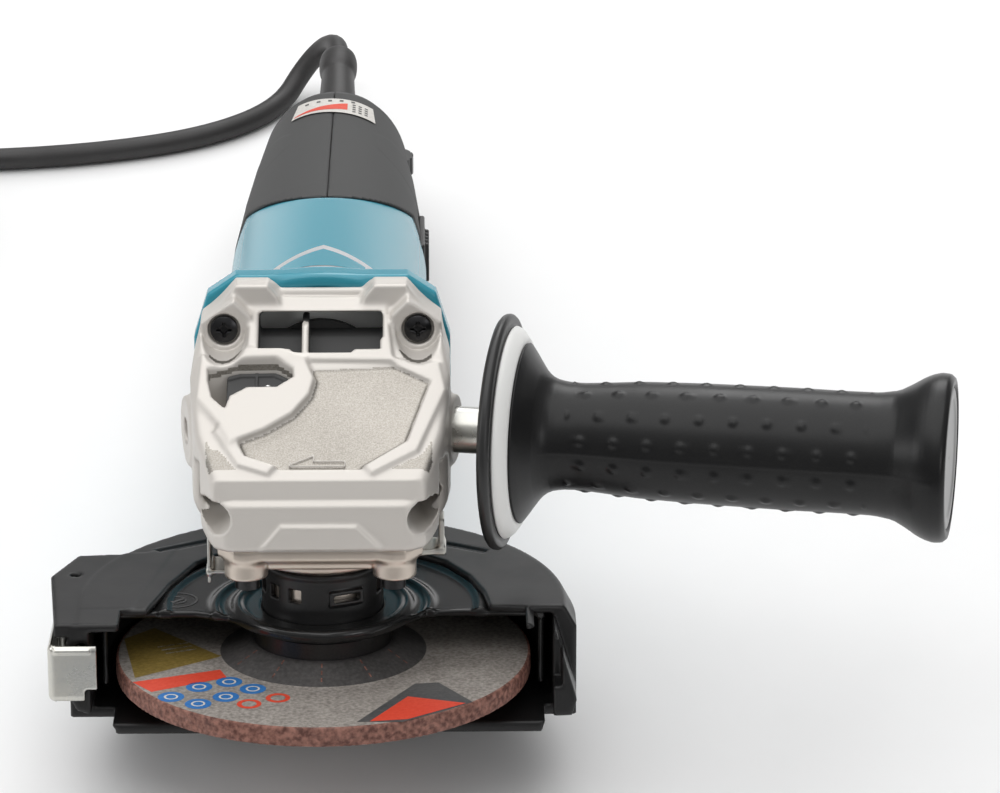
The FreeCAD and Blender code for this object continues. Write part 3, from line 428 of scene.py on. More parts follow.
class Shades:
    """Shader groups that several finishes share, each built once."""

    groups: dict[str, bpy.types.NodeTree] = {}

    @classmethod
    def fresh(cls, name: str, inputs: Sequence[tuple[str, str, float]], output: tuple[str, str]):
        """Make an empty group with its inputs and one output.

        Args:
            name: the group's name.
            inputs: each socket's name, type and starting value.
            output: the output's name and type.

        Returns:
            The tree, its input node and its output node.
        """
        tree = bpy.data.node_groups.new(name, "ShaderNodeTree")
        for title, kind, value in inputs:
            socket = tree.interface.new_socket(title, in_out="INPUT", socket_type=kind)
            if kind == "NodeSocketFloat":
                socket.default_value = value
        tree.interface.new_socket(output[0], in_out="OUTPUT", socket_type=output[1])
        return tree, tree.nodes.new("NodeGroupInput"), tree.nodes.new("NodeGroupOutput")

    @classmethod
    def mottle(cls) -> bpy.types.NodeTree:
        """Two tones mixed by soft patches, with a finer speckle over them."""
        if "mottle" in cls.groups:
            return cls.groups["mottle"]
        tree, start, end = cls.fresh("mottle", [
            ("Vector", "NodeSocketVector", 0), ("Tone A", "NodeSocketColor", 0),
            ("Tone B", "NodeSocketColor", 0), ("Patch Scale", "NodeSocketFloat", 60),
            ("Speckle Scale", "NodeSocketFloat", 900), ("Speckle", "NodeSocketFloat", 0.3)],
                                     ("Color", "NodeSocketColor"))
        patches = tree.nodes.new("ShaderNodeTexNoise")
        patches.inputs["Detail"].default_value = 4
        speckle = tree.nodes.new("ShaderNodeTexNoise")
        speckle.inputs["Detail"].default_value = 2
        weigh = tree.nodes.new("ShaderNodeMix")
        weigh.data_type = "FLOAT"
        contrast = tree.nodes.new("ShaderNodeMapRange")
        contrast.inputs["From Min"].default_value = 0.35
        contrast.inputs["From Max"].default_value = 0.65
        blend = tree.nodes.new("ShaderNodeMix")
        blend.data_type = "RGBA"
        link = tree.links.new
        for noise, scale in ((patches, "Patch Scale"), (speckle, "Speckle Scale")):
            link(start.outputs["Vector"], noise.inputs["Vector"])
            link(start.outputs[scale], noise.inputs["Scale"])
        link(start.outputs["Speckle"], weigh.inputs[0])
        link(patches.outputs["Fac"], weigh.inputs[2])
        link(speckle.outputs["Fac"], weigh.inputs[3])
        link(weigh.outputs[0], contrast.inputs["Value"])
        link(contrast.outputs["Result"], blend.inputs[0])
        link(start.outputs["Tone A"], blend.inputs[6])
        link(start.outputs["Tone B"], blend.inputs[7])
        link(blend.outputs[2], end.inputs["Color"])
        cls.groups["mottle"] = tree
        return tree

    @classmethod
    def smudge(cls) -> bpy.types.NodeTree:
        """A roughness that wanders between two values."""
        if "smudge" in cls.groups:
            return cls.groups["smudge"]
        tree, start, end = cls.fresh("smudge", [
            ("Vector", "NodeSocketVector", 0), ("Scale", "NodeSocketFloat", 40),
            ("Low", "NodeSocketFloat", 0.3), ("High", "NodeSocketFloat", 0.5)],
                                     ("Roughness", "NodeSocketFloat"))
        noise = tree.nodes.new("ShaderNodeTexNoise")
        noise.inputs["Detail"].default_value = 6
        spread = tree.nodes.new("ShaderNodeMapRange")
        spread.inputs["From Min"].default_value = 0.3
        spread.inputs["From Max"].default_value = 0.7
        link = tree.links.new
        link(start.outputs["Vector"], noise.inputs["Vector"])
        link(start.outputs["Scale"], noise.inputs["Scale"])
        link(noise.outputs["Fac"], spread.inputs["Value"])
        link(start.outputs["Low"], spread.inputs["To Min"])
        link(start.outputs["High"], spread.inputs["To Max"])
        link(spread.outputs["Result"], end.inputs["Roughness"])
        cls.groups["smudge"] = tree
        return tree

    @classmethod
    def grain(cls) -> bpy.types.NodeTree:
        """A fine relief: rounded pips from cells, roughened by noise."""
        if "grain" in cls.groups:
            return cls.groups["grain"]
        tree, start, end = cls.fresh("grain", [
            ("Vector", "NodeSocketVector", 0), ("Scale", "NodeSocketFloat", 900),
            ("Pips", "NodeSocketFloat", 0.5)], ("Height", "NodeSocketFloat"))
        cells = tree.nodes.new("ShaderNodeTexVoronoi")
        cells.feature = "SMOOTH_F1"
        noise = tree.nodes.new("ShaderNodeTexNoise")
        noise.inputs["Detail"].default_value = 5
        weigh = tree.nodes.new("ShaderNodeMix")
        weigh.data_type = "FLOAT"
        link = tree.links.new
        for texture in (cells, noise):
            link(start.outputs["Vector"], texture.inputs["Vector"])
            link(start.outputs["Scale"], texture.inputs["Scale"])
        link(start.outputs["Pips"], weigh.inputs[0])
        link(noise.outputs["Fac"], weigh.inputs[2])
        link(cells.outputs["Distance"], weigh.inputs[3])
        link(weigh.outputs[0], end.inputs["Height"])
        cls.groups["grain"] = tree
        return tree


@dataclass(frozen=True)
class Finish:
    """One finish: its colours, gloss and small relief, all worked out from the object's coordinates.

    Args:
        name: the material's name.
        tone, other_tone: the two colours that its patches run between (linear).
        rough: the range of its roughness.
        metallic: 1 for bare metal.
        texture: which relief it has.
        relief: the relief's depth in metres.
        scale: how fine the relief is, per metre.
        speckle: how much of the colour change is fine speckle.
        coat: weight of a clear coat.
        patch: how fine the colour's soft patches are, per metre.
        specular: how strongly a plain surface mirrors, 0.5 for common plastics.
    """

    name: str
    tone: Triple
    other_tone: Triple
    rough: Pair = (0.35, 0.5)
    metallic: float = 0.0
    texture: Texture = Texture.SMOOTH
    relief: float = 0.00002
    scale: float = 1400.0
    speckle: float = 0.3
    coat: float = 0.0
    patch: float = 50.0
    specular: float = 0.5

    def material(self) -> bpy.types.Material:
        """Build the material, or find it if it is there already."""
        found = bpy.data.materials.get(self.name)
        if found:
            return found
        material = bpy.data.materials.new(self.name)
        material.use_nodes = True
        nodes, link = material.node_tree.nodes, material.node_tree.links.new
        shader = nodes["Principled BSDF"]
        place = nodes.new("ShaderNodeTexCoord")
        where = place.outputs["Object"]
        if self.texture is Texture.BRUSHED:
            stretch = nodes.new("ShaderNodeMapping")
            stretch.inputs["Scale"].default_value = (1.0, 0.06, 1.0)
            link(where, stretch.inputs["Vector"])
            where = stretch.outputs["Vector"]
        colour = nodes.new("ShaderNodeGroup")
        colour.node_tree = Shades.mottle()
        colour.inputs["Tone A"].default_value = (*self.tone, 1)
        colour.inputs["Tone B"].default_value = (*self.other_tone, 1)
        colour.inputs["Patch Scale"].default_value = self.patch
        colour.inputs["Speckle Scale"].default_value = self.scale
        colour.inputs["Speckle"].default_value = self.speckle
        link(place.outputs["Object"], colour.inputs["Vector"])
        link(colour.outputs["Color"], shader.inputs["Base Color"])
        gloss = nodes.new("ShaderNodeGroup")
        gloss.node_tree = Shades.smudge()
        gloss.inputs["Low"].default_value, gloss.inputs["High"].default_value = self.rough
        link(where, gloss.inputs["Vector"])
        link(gloss.outputs["Roughness"], shader.inputs["Roughness"])
        shader.inputs["Metallic"].default_value = self.metallic
        shader.inputs["Coat Weight"].default_value = self.coat
        shader.inputs["Specular IOR Level"].default_value = self.specular
        shader.inputs["Coat Roughness"].default_value = 0.12
        if self.texture is not Texture.SMOOTH:
            grain = nodes.new("ShaderNodeGroup")
            grain.node_tree = Shades.grain()
            grain.inputs["Scale"].default_value = self.scale
            grain.inputs["Pips"].default_value = 0.8 if self.texture is Texture.GRIT else 0.35
            bump = nodes.new("ShaderNodeBump")
            bump.inputs["Distance"].default_value = self.relief
            bump.inputs["Strength"].default_value = 1.0
            link(where, grain.inputs["Vector"])
            link(grain.outputs["Height"], bump.inputs["Height"])
            link(bump.outputs["Normal"], shader.inputs["Normal"])
        return material


CAST_SILVER = Finish("cast_silver", (0.46, 0.435, 0.40), (0.54, 0.515, 0.475), (0.25, 0.33), 0.9,
                     Texture.SAND_CAST, 0.00003, 2600, 0.75)
# The apron's finish: the cast silver's tone painted darker, as shade, with a coarser grain and more roughness.
SHADED_APRON = Finish("shaded_apron", (0.29, 0.27, 0.24), (0.42, 0.395, 0.36), (0.36, 0.46), 0.9,
                    Texture.SAND_CAST, 0.00006, 2300, 0.8)
CAST_PLAIN = Finish("cast_plain", (0.42, 0.315, 0.255), (0.56, 0.45, 0.38), (0.45, 0.6), 0.8,
                    Texture.SAND_CAST, 0.00010, 1900, 0.8)
TEAL = Finish("teal_plastic", (0.0015, 0.105, 0.155), (0.003, 0.128, 0.185), (0.30, 0.40), 0.0,
              Texture.FINE_GRAIN, 0.000012, 2600, 0.4)
# Also used inside the housing's air outlet, where its dark tone is painted shade.
DARK_PLASTIC_AND_SHADE = Finish("dark_plastic", (0.026, 0.0245, 0.024), (0.038, 0.036, 0.035), (0.46, 0.6), 0.0,
                      Texture.FINE_GRAIN, 0.00003, 2400, 0.6, 0.0, 50, 0.35)
COVER_PLASTIC = Finish("cover_plastic", (0.008, 0.008, 0.0085), (0.014, 0.0135, 0.0135), (0.34, 0.48), 0.0,
                       Texture.FINE_GRAIN, 0.00002, 2400, 0.6, 0.0, 50, 0.35)
GRIP_RUBBER = Finish("grip_rubber", (0.005, 0.005, 0.0055), (0.010, 0.010, 0.010), (0.30, 0.42), 0.0,
                     Texture.FINE_GRAIN, 0.000012, 2600, 0.5, 0.0, 50, 0.3)
BLACK_PLASTIC = Finish("black_plastic", (0.008, 0.008, 0.008), (0.016, 0.016, 0.016), (0.28, 0.42), 0.0,
                       Texture.FINE_GRAIN, 0.00001, 2600, 0.4, 0.0, 50, 0.35)
GREY_PLASTIC = Finish("grey_plastic", (0.12, 0.12, 0.12), (0.16, 0.16, 0.16), (0.4, 0.5))
WHITE_RUBBER = Finish("white_rubber", (0.74, 0.73, 0.71), (0.82, 0.81, 0.79), (0.38, 0.5), 0.0,
                      Texture.FINE_GRAIN, 0.00001, 2000)
LEAD_RUBBER = Finish("lead_rubber", (0.022, 0.021, 0.021), (0.034, 0.032, 0.032), (0.45, 0.6), 0.0,
                     Texture.FINE_GRAIN, 0.00002, 2200, 0.4)
BLACK_PAINT = Finish("black_paint", (0.004, 0.004, 0.004), (0.009, 0.009, 0.009), (0.10, 0.2), 0.0,
                     Texture.FINE_GRAIN, 0.000012, 700, 0.3, 0.6)
BAND_PAINT = Finish("band_paint", (0.010, 0.010, 0.011), (0.018, 0.018, 0.018), (0.3, 0.42), 0.0,
                    Texture.FINE_GRAIN, 0.00001, 1800, 0.3)
BLACK_OXIDE = Finish("black_oxide", (0.035, 0.035, 0.037), (0.06, 0.058, 0.058), (0.25, 0.4), 0.85,
                     Texture.BRUSHED, 0.00001, 1800)
SCREW_BLACK = Finish("screw_black", (0.03, 0.03, 0.032), (0.055, 0.055, 0.056), (0.22, 0.34), 0.9,
                     Texture.BRUSHED, 0.00001, 1500)
ZINC = Finish("zinc_plate", (0.48, 0.485, 0.47), (0.60, 0.585, 0.53), (0.2, 0.36), 1.0,
              Texture.BRUSHED, 0.00002, 1300, 0.2)
STEEL = Finish("ground_steel", (0.56, 0.56, 0.56), (0.68, 0.68, 0.67), (0.16, 0.3), 1.0,
               Texture.BRUSHED, 0.00001, 1600, 0.2)
CORE_STEEL = Finish("core_steel", (0.25, 0.25, 0.26), (0.34, 0.34, 0.34), (0.35, 0.5), 0.9,
                    Texture.BRUSHED, 0.00003, 900)
COPPER = Finish("copper_wire", (0.55, 0.19, 0.08), (0.70, 0.30, 0.14), (0.25, 0.4), 0.9,
                Texture.GRIT, 0.0001, 700)
BRASS = Finish("brass_sheet", (0.62, 0.44, 0.16), (0.72, 0.54, 0.24), (0.25, 0.38), 1.0,
               Texture.BRUSHED, 0.00001, 1300)
CARBON = Finish("carbon", (0.02, 0.02, 0.02), (0.035, 0.035, 0.035), (0.6, 0.75), 0.0, Texture.GRIT, 0.00004,
                1600)
NICKEL = Finish("nickel_plate", (0.72, 0.69, 0.63), (0.78, 0.76, 0.72), (0.1, 0.2), 1.0, Texture.BRUSHED,
                0.000005, 900)
DISC_FACE = Finish("disc_face", (0.185, 0.165, 0.148), (0.36, 0.33, 0.30), (0.6, 0.8), 0.0,
                   Texture.GRIT, 0.00016, 900, 0.75, 0.0, 120)
DISC_HUB = Finish("disc_hub", (0.045, 0.042, 0.041), (0.085, 0.08, 0.078), (0.5, 0.7), 0.0,
                  Texture.GRIT, 0.0001, 800, 0.6)
DISC_RIM = Finish("disc_rim", (0.10, 0.036, 0.026), (0.30, 0.14, 0.105), (0.55, 0.85), 0.0,
                  Texture.GRIT, 0.0007, 620, 0.92)
PRINT_RED = Finish("print_red", (0.62, 0.045, 0.018), (0.70, 0.075, 0.035), (0.5, 0.65), 0.0,
                   Texture.GRIT, 0.0001, 900, 0.5)
PRINT_BLUE = Finish("print_blue", (0.015, 0.13, 0.40), (0.03, 0.18, 0.48), (0.5, 0.65), 0.0,
                    Texture.GRIT, 0.0001, 900, 0.5)
PRINT_OLIVE = Finish("print_olive", (0.17, 0.115, 0.02), (0.27, 0.19, 0.045), (0.5, 0.7), 0.0,
                     Texture.GRIT, 0.00012, 900, 0.7)
PRINT_GREY = Finish("print_grey", (0.05, 0.05, 0.052), (0.09, 0.088, 0.086), (0.5, 0.7), 0.0,
                    Texture.GRIT, 0.0001, 900, 0.5)
PRINT_WHITE = Finish("print_white", (0.52, 0.50, 0.47), (0.66, 0.64, 0.6), (0.5, 0.65), 0.0,
                     Texture.GRIT, 0.0001, 900, 0.5)
BADGE = Finish("badge_silver", (0.55, 0.56, 0.57), (0.66, 0.67, 0.68), (0.25, 0.35), 0.5)
PALE_FLOOR = Finish("pale_floor", (0.86, 0.86, 0.86), (0.87, 0.87, 0.87), (0.75, 0.8))

NODE_FINISH = {
    "grinding_disc": DISC_FACE, "inner_flange": BLACK_OXIDE, "spindle": STEEL, "lock_nut": BLACK_OXIDE,
    "gear_retaining_ring": STEEL, "spindle_seal_ring": LEAD_RUBBER, "crown_gear": STEEL, "pinion": STEEL,
    "armature_shaft": STEEL, "pinion_nut": STEEL, "armature_core": CORE_STEEL, "armature_windings": COPPER,
    "commutator": COPPER, "cooling_fan": WHITE_RUBBER, "spindle_ball_bearing": STEEL,
    "spindle_needle_bearing": STEEL, "rotor_front_bearing": STEEL, "rotor_rear_bearing": STEEL,
    "bearing_retainer": DARK_PLASTIC_AND_SHADE, "gear_housing": CAST_SILVER, "bearing_box": CAST_PLAIN,
    "bearing_box_screws": SCREW_BLACK, "gear_housing_screws": SCREW_BLACK, "motor_housing": TEAL,
    "fan_baffle": DARK_PLASTIC_AND_SHADE, "stator_core": CORE_STEEL, "field_coils": COPPER, "brush_holders": BRASS,
    "carbon_brushes": CARBON, "brush_springs": STEEL, "tail_shell_right": DARK_PLASTIC_AND_SHADE,
    "tail_shell_left": DARK_PLASTIC_AND_SHADE, "tail_screws": SCREW_BLACK, "switch_body": BLACK_PLASTIC,
    "speed_controller": BLACK_PLASTIC, "cord_clamp": BLACK_PLASTIC, "switch_slider": BLACK_PLASTIC,
    "speed_dial": BLACK_PLASTIC, "shaft_lock_button": DARK_PLASTIC_AND_SHADE, "shaft_lock_pin": STEEL,
    "shaft_lock_spring": STEEL, "wheel_guard": BLACK_PAINT, "guard_band": BAND_PAINT,
    "cutting_cover": COVER_PLASTIC, "clip_pin": ZINC, "cover_clip": ZINC, "guard_lever": ZINC,
    "lever_pivot": STEEL, "guard_bracket": ZINC, "handle_stud": ZINC, "handle_flange": BLACK_PLASTIC,
    "damping_ring": WHITE_RUBBER, "handle_grip": GRIP_RUBBER, "handle_end_cap": GREY_PLASTIC,
    "cord_sleeve": LEAD_RUBBER, "supply_cord": LEAD_RUBBER, "cord_coil": LEAD_RUBBER,
    "mains_plug": LEAD_RUBBER, "plug_pins": NICKEL,
}


# ---------------------------------------------------------------- making pieces


def add_piece(name: str, points: np.ndarray, faces: Sequence, body: str, slot: str, finish: Finish,
              replaces: Sequence[str] = (), in_row_frame: bool = False) -> bpy.types.Object:
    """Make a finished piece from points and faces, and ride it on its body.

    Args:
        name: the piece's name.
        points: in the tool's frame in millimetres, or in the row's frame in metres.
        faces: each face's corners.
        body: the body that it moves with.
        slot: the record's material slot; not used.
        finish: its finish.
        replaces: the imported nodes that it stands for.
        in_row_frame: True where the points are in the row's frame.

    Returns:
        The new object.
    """
    mesh = bpy.data.meshes.new(name)
    placed = points if in_row_frame else TOOL.place(points)
    mesh.from_pydata(placed, [], faces.tolist() if isinstance(faces, np.ndarray) else faces)
    mesh.validate()
    mesh.polygons.foreach_set("use_smooth", np.ones(len(mesh.polygons), bool))
    mesh.materials.append(finish.material())
    mesh.update()
    piece = bpy.data.objects.new(name, mesh)
    bpy.context.scene.collection.objects.link(piece)
    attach(piece, body)
    if replaces:
        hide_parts(*replaces)
    LOG.info("%s: %d faces on %s", name, len(mesh.polygons), body)
    return piece


def add_form(name: str, form: Form, low: Triple, high: Triple, step: float, body: str, slot: str,
             finish: Finish, replaces: Sequence[str] = ()) -> bpy.types.Object:
    """Make a finished piece from a solid's distance rule; see skin and add_piece."""
    points, faces = skin(form, low, high, step)
    return add_piece(name, points, faces, body, slot, finish, replaces)


def paint_where(piece: bpy.types.Object, finish: Finish, inside: Callable[[np.ndarray], np.ndarray]) -> None:
    """Give a second finish to the faces whose middles, in the tool's frame, pass a test.

    Args:
        piece: the piece.
        finish: the second finish.
        inside: takes the middles in millimetres and returns True where it applies.
    """
    mesh = piece.data
    mesh.materials.append(finish.material())
    middles = np.empty(len(mesh.polygons) * 3)
    mesh.polygons.foreach_get("center", middles)
    own = (middles.reshape(-1, 3) - np.array(TOOL.shift)) * 1000
    c, s = math.cos(TOOL.tilt), math.sin(TOOL.tilt)
    back = np.array([[1, 0, 0], [0, c, s], [0, -s, c]])
    chosen = inside(own @ back)
    slots = np.empty(len(mesh.polygons), np.int32)
    mesh.polygons.foreach_get("material_index", slots)
    slots[chosen] = len(mesh.materials) - 1
    mesh.polygons.foreach_set("material_index", slots)
    mesh.update()


# ---------------------------------------------------------------- shared shapes


def mirrored(corners: Sequence[Pair]) -> list[Pair]:
    """An outline's right half, low to high, with its mirror image added."""
    return list(corners) + [(-u, v) for u, v in reversed(corners)]


def outwards(points: np.ndarray, faces: np.ndarray) -> tuple[np.ndarray, np.ndarray]:
    """Turn a closed skin's faces round if the volume that they enclose comes out negative."""
    a, b, c, d = (points[faces[:, i]] for i in range(4))
    volume = (a * np.cross(b, c)).sum() + (a * np.cross(c, d)).sum()
    return points, faces if volume > 0 else faces[:, ::-1]


def handle_frame(side: int = 1) -> tuple[Triple, np.ndarray]:
    """The zero point and the X, Y and Z ways of a side handle's thread; side is 1 on the right."""
    way = np.array([side * math.cos(HANDLE_SWEEP), -math.sin(HANDLE_SWEEP), 0.0])
    up = np.array([0.0, 0.0, 1.0])
    return (42.0 * side, 5.0, 68.0), np.array([np.cross(up, way), up, way])


def hoop(radius: float, thickness: float, height: float) -> Form:
    """A round bar bent into a ring about Z."""
    return Form(lambda x, y, z: np.hypot(np.hypot(x, y) - radius, z - height) - thickness)


def stacked(parts: Sequence[tuple[np.ndarray, np.ndarray]]) -> tuple[np.ndarray, np.ndarray]:
    """Several sets of points and faces as one."""
    starts = np.cumsum([0] + [len(points) for points, _ in parts[:-1]])
    return (np.vstack([points for points, _ in parts]),
            np.vstack([faces + start for (_, faces), start in zip(parts, starts)]))


def patch(corners: Sequence[Pair], height: Callable[[np.ndarray, np.ndarray], np.ndarray],
          count: int = 20) -> tuple[np.ndarray, np.ndarray]:
    """A printed patch: its four corners blended evenly over a square grid, then laid on a height rule."""
    u, v = np.meshgrid(np.linspace(0, 1, count), np.linspace(0, 1, count), indexing="ij")
    weights = ((1 - u) * (1 - v), u * (1 - v), u * v, (1 - u) * v)
    x, y = (sum(weight * corner[i] for weight, corner in zip(weights, corners)) for i in (0, 1))
    return upwards(x, y, height(x, y), False)


def round_patch(middle: Pair, radius: float, height: Callable[[np.ndarray, np.ndarray], np.ndarray],
                count: int = 16) -> tuple[np.ndarray, np.ndarray]:
    """A round printed patch: a square grid squeezed into a circle, x = u root(1 - v v / 2)."""
    u, v = np.meshgrid(np.linspace(-1, 1, count), np.linspace(-1, 1, count), indexing="ij")
    x = middle[0] + radius * u * np.sqrt(1 - v * v / 2)
    y = middle[1] + radius * v * np.sqrt(1 - u * u / 2)
    return upwards(x, y, height(x, y), False)


def ring_patch(middle: Pair, inner: float, outer: float,
               height: Callable[[np.ndarray, np.ndarray], np.ndarray]) -> tuple[np.ndarray, np.ndarray]:
    """A printed ring: circles from the inner to the outer radius."""
    angle, r = np.meshgrid(np.linspace(0, 2 * math.pi, 48, endpoint=False), np.linspace(inner, outer, 4),
                           indexing="ij")
    x, y = middle[0] + r * np.cos(angle), middle[1] + r * np.sin(angle)
    return upwards(x, y, height(x, y), True)


def upwards(x: np.ndarray, y: np.ndarray, z: np.ndarray, closed: bool) -> tuple[np.ndarray, np.ndarray]:
    """A grid of points with its faces turned so that they look up."""
    points = np.stack([x, y, z], axis=2).reshape(-1, 3)
    faces = grid_faces(*x.shape, closed, False)
    a, b, c = (points[faces[:, i]] for i in range(3))
    looks_up = np.cross(b - a, c - a)[:, 2].sum() > 0
    return points, faces if looks_up else faces[:, ::-1]


# ---------------------------------------------------------------- gear housing


@dataclass
class GearHousing:
    """The cast housing: a block that slopes down towards the disc, with its air outlet and lock pocket.

    Args:
        slope: how steeply the front slope rises, in radians.
        slope_height: the slope's height over the spindle's axis.
        step: the size of the faces.
    """

    slope: float = math.radians(29.8)
    slope_height: float = 84.4
    step: float = 0.65
    pocket: tuple[Pair, ...] = ((-33.2, 3.2), (-24, 6.6), (-13.1, 6.9), (-8.3, 3.6), (-8.0, 0.3),
                                (-12.9, -3.1), (-21.5, -3.1), (-26.6, -6.2), (-28.0, -10.4), (-31.7, -6.6),
                                (-33.0, -1.0))

    def on_slope(self, corners: Sequence[Pair], low: float, high: float, rounding: float = 0.0) -> Form:
        """A plate whose corners are given as (x, y) and whose heights are measured square to the slope."""
        c, s = math.cos(self.slope), math.sin(self.slope)
        own = [(x, y / c) for x, y in corners]
        axes = np.array([[1, 0, 0], [0, c, s], [0, -s, c]])
        return Form.plate(own, low, high, rounding=rounding).moved((0, 0, self.slope_height), axes)

    def block(self) -> Form:
        """What the plan, side and front outlines share."""
        plan = Form.plate(mirrored([(25.5, -37), (31, -33), (36.5, -16), (39.5, 4), (39.5, 34)]), 43, 108)
        side = Form.plate([(-38, 43), (-38, 57.5), (-34, 59.5), (-32.5, 65.3), (-7, 80.5), (7, 88.5),
                           (30, 101), (30, 107), (34, 107), (34, 43)], -40.5, 40.5, "X")
        front = Form.plate(mirrored([(33, 43), (39.5, 50), (39.5, 85), (34.5, 98), (26, 107)]), -39, 34, "Y")
        return plan.within(side, front, fillet=3.0)

    def raised(self) -> list[Form]:
        """Window frame, horns, screw pads and the two handle bosses."""
        zero, axes = handle_frame()
        boss = Form.rod(10.5, -14, -1.8, rounding=0.8).moved(zero, axes)
        left_zero, left_axes = handle_frame(-1)
        return [self.on_slope([(-22.1, 7.6), (21.6, 6.9), (19.4, 29.4), (-20.9, 29.6)], -4, 1.5, 0.8),
                Form.plate([(12, 99), (12.8, 103), (16, 107), (25.6, 107), (31, 99)], 25, 34, "Y",
                           0.8).both_sides(),
                Form.plate([(21, 89), (21, 99), (26, 104), (36, 97), (36, 91), (31, 87)], 19.5, 34, "Y",
                           0.6).both_sides(),
                boss, Form.rod(10.5, -14, -1.8, rounding=0.8).moved(left_zero, left_axes)]

    def hollows(self) -> list[Form]:
        """The dished apron, the facets beside it, and the steps on the front face."""
        return [self.on_slope([(-26, 3), (24, 5), (33.5, 0.5), (26.5, -20), (14, -28.4), (-13, -28.4),
                               (-22, -25), (-27.5, -14)], -0.5, 6, 0.45),
                Form.block((-26.5, -40, 40), (26.5, -36.3, 57.3), 0.4),
                Form.block((-13, 27, 104.6), (13, 36, 112), 1.5),
                Form.plate([(27, 66), (46, 60), (46, 45), (27, 45)], -45, -20, "Y", 3.0).moved(
                    (0, 0, 0), np.array([[0.94, 0.34, 0], [-0.34, 0.94, 0], [0, 0, 1]])).both_sides()]

    def cavities(self) -> list[Form]:
        """The rooms for the gears, bearings, pin and screws."""
        chamber = Form.turned([(0, 40), (24.6, 40), (24.2, 68.8), (22.2, 69.6), (16, 71.4), (0, 71.4)])
        zero, axes = handle_frame()
        left_zero, left_axes = handle_frame(-1)
        return [chamber, Form.rod(7.5, 71, 78.1), Form.rod(9.6, 9, 25, (0, 75), "Y"),
                Form.rod(15, 24.2, 33, (0, 75), "Y"), Form.rod(19.2, 32, 36, (0, 75), "Y"),
                Form.rod(2.26, 70, 75, (-14.8, 1.8)),
                Form.rod(4, -13.8, 1).moved(zero, axes), Form.rod(4, -13.8, 1).moved(left_zero, left_axes),
                Form.rod(2.45, 21, 36, (29, 94.8), "Y").both_sides(),
                Form.rod(2.45, 21, 36, (30.5, 54), "Y").both_sides(),
                Form.rod(2.0, 42, 50, (21.5, -24)).both_sides(),
                Form.rod(2.0, 42, 50, (21.5, 24)).both_sides()]

    def outlet(self) -> list[Form]:
        """The air outlet and its duct, which leave a rib standing left of the middle."""
        window = self.on_slope([(-18.6, 11), (-9, 10.9), (-8, 9.8), (9, 9.8), (10, 10.9), (17.7, 11),
                                (17.7, 23.8), (10.5, 23.8), (9, 22.6), (-8, 22.6), (-9.5, 23.8),
                                (-18.6, 23.8)], -5.5, 6)
        rib = Form.block((-5.6, 5, 88), (-3.6, 33, 96.5), 0.5)
        duct = Form.block((-18.5, 14, 91.5), (18.5, 36, 99), 1.0)
        return [window.joined(duct).without(rib)]

    def build(self) -> None:
        """Make the casting, give its apron a coarser grain and paint it darker as shade, and paint the inside
        of the outlet dark as shade.
        """
        land = self.on_slope([(-35.5, 9), (-22, 11), (-12, 11), (-4.6, 7.5), (-1.6, 0.5), (-3, -5),
                              (-8, -11.5), (-16, -16.8), (-26.2, -21.2), (-29.5, -15), (-36.5, -6)], -4,
                             1.9, 1.0)
        rails = [self.on_slope([(21.6, 7.5), (35, 6), (36.8, -3), (28.5, -23.5), (15.5, -31), (13.5, -28.6),
                                (25.8, -20.5), (32.8, 0), (24, 4.8)], -4, 0.9, 0.5),
                 self.on_slope([(-30.5, -17), (-27.5, -14), (-21.8, -25.2), (-13, -28.6), (-15, -31),
                                (-23.5, -28)], -4, 0.9, 0.5)]
        panel = Form.plate([(-16.6, 45.5), (-11, 52.3), (10.8, 52.2), (17.4, 45.5)], -37.0, -34, "Y", 0.5)
        form = self.block().joined(*self.raised(), fillet=1.8).without(*self.hollows(), fillet=2.0)
        form = form.joined(land, panel, *rails, fillet=2.2)
        pocket = Form.plate(self.pocket, 74.6, 100, rounding=0.3)
        recess = Form.rod(4.9, -30, 19.5, (29, 94.8), "Y").both_sides()
        facet = Form.rod(6.6, -30, 19.5, (29, 94.8), "Y").both_sides()
        tunnel = Form.rod(4.9, -45, 22, (30.5, 54), "Y").both_sides()
        seat = Form.rod(4.9, 10, 22, (29, 94.8), "Y").both_sides()
        form = form.without(facet, recess, pocket, *self.outlet(), fillet=0.9)
        form = form.without(seat, tunnel, *self.cavities(), fillet=0.15)
        piece = add_form("gear_housing_casting", form, (-43, -40, 42), (43, 35, 109), self.step, "tool",
                         "cast_silver", CAST_SILVER, ["gear_housing"])
        # Painted shade: the recessed apron is given a darker copy of the silver.
        paint_where(piece, SHADED_APRON, self.is_apron)
        # Painted shade: the inside of the air outlet and its duct is given the dark plastic finish.
        paint_where(piece, DARK_PLASTIC_AND_SHADE, self.is_duct)
        self.arrow()

    def is_apron(self, middles: np.ndarray) -> np.ndarray:
        """True for spots that lie lower than the slope, in front of the outlet and clear of the edges: these
        get the apron's painted shade.
        """
        x, y, z = middles.T
        depth = (z - self.slope_height) * math.cos(self.slope) - y * math.sin(self.slope)
        return (depth < -0.22) & (depth > -1.6) & (y < 12) & (y > -29) & (np.abs(x) < 33)

    def is_duct(self, middles: np.ndarray) -> np.ndarray:
        """True for spots inside the air outlet and its duct: these are painted dark as shade."""
        x, y, z = middles.T
        depth = (z - self.slope_height) * math.cos(self.slope) - y * math.sin(self.slope)
        return (np.abs(x) < 18.9) & (y > 8.5) & (y < 33.9) & (depth < -0.8) & (z > 84) & (z < 99.6)

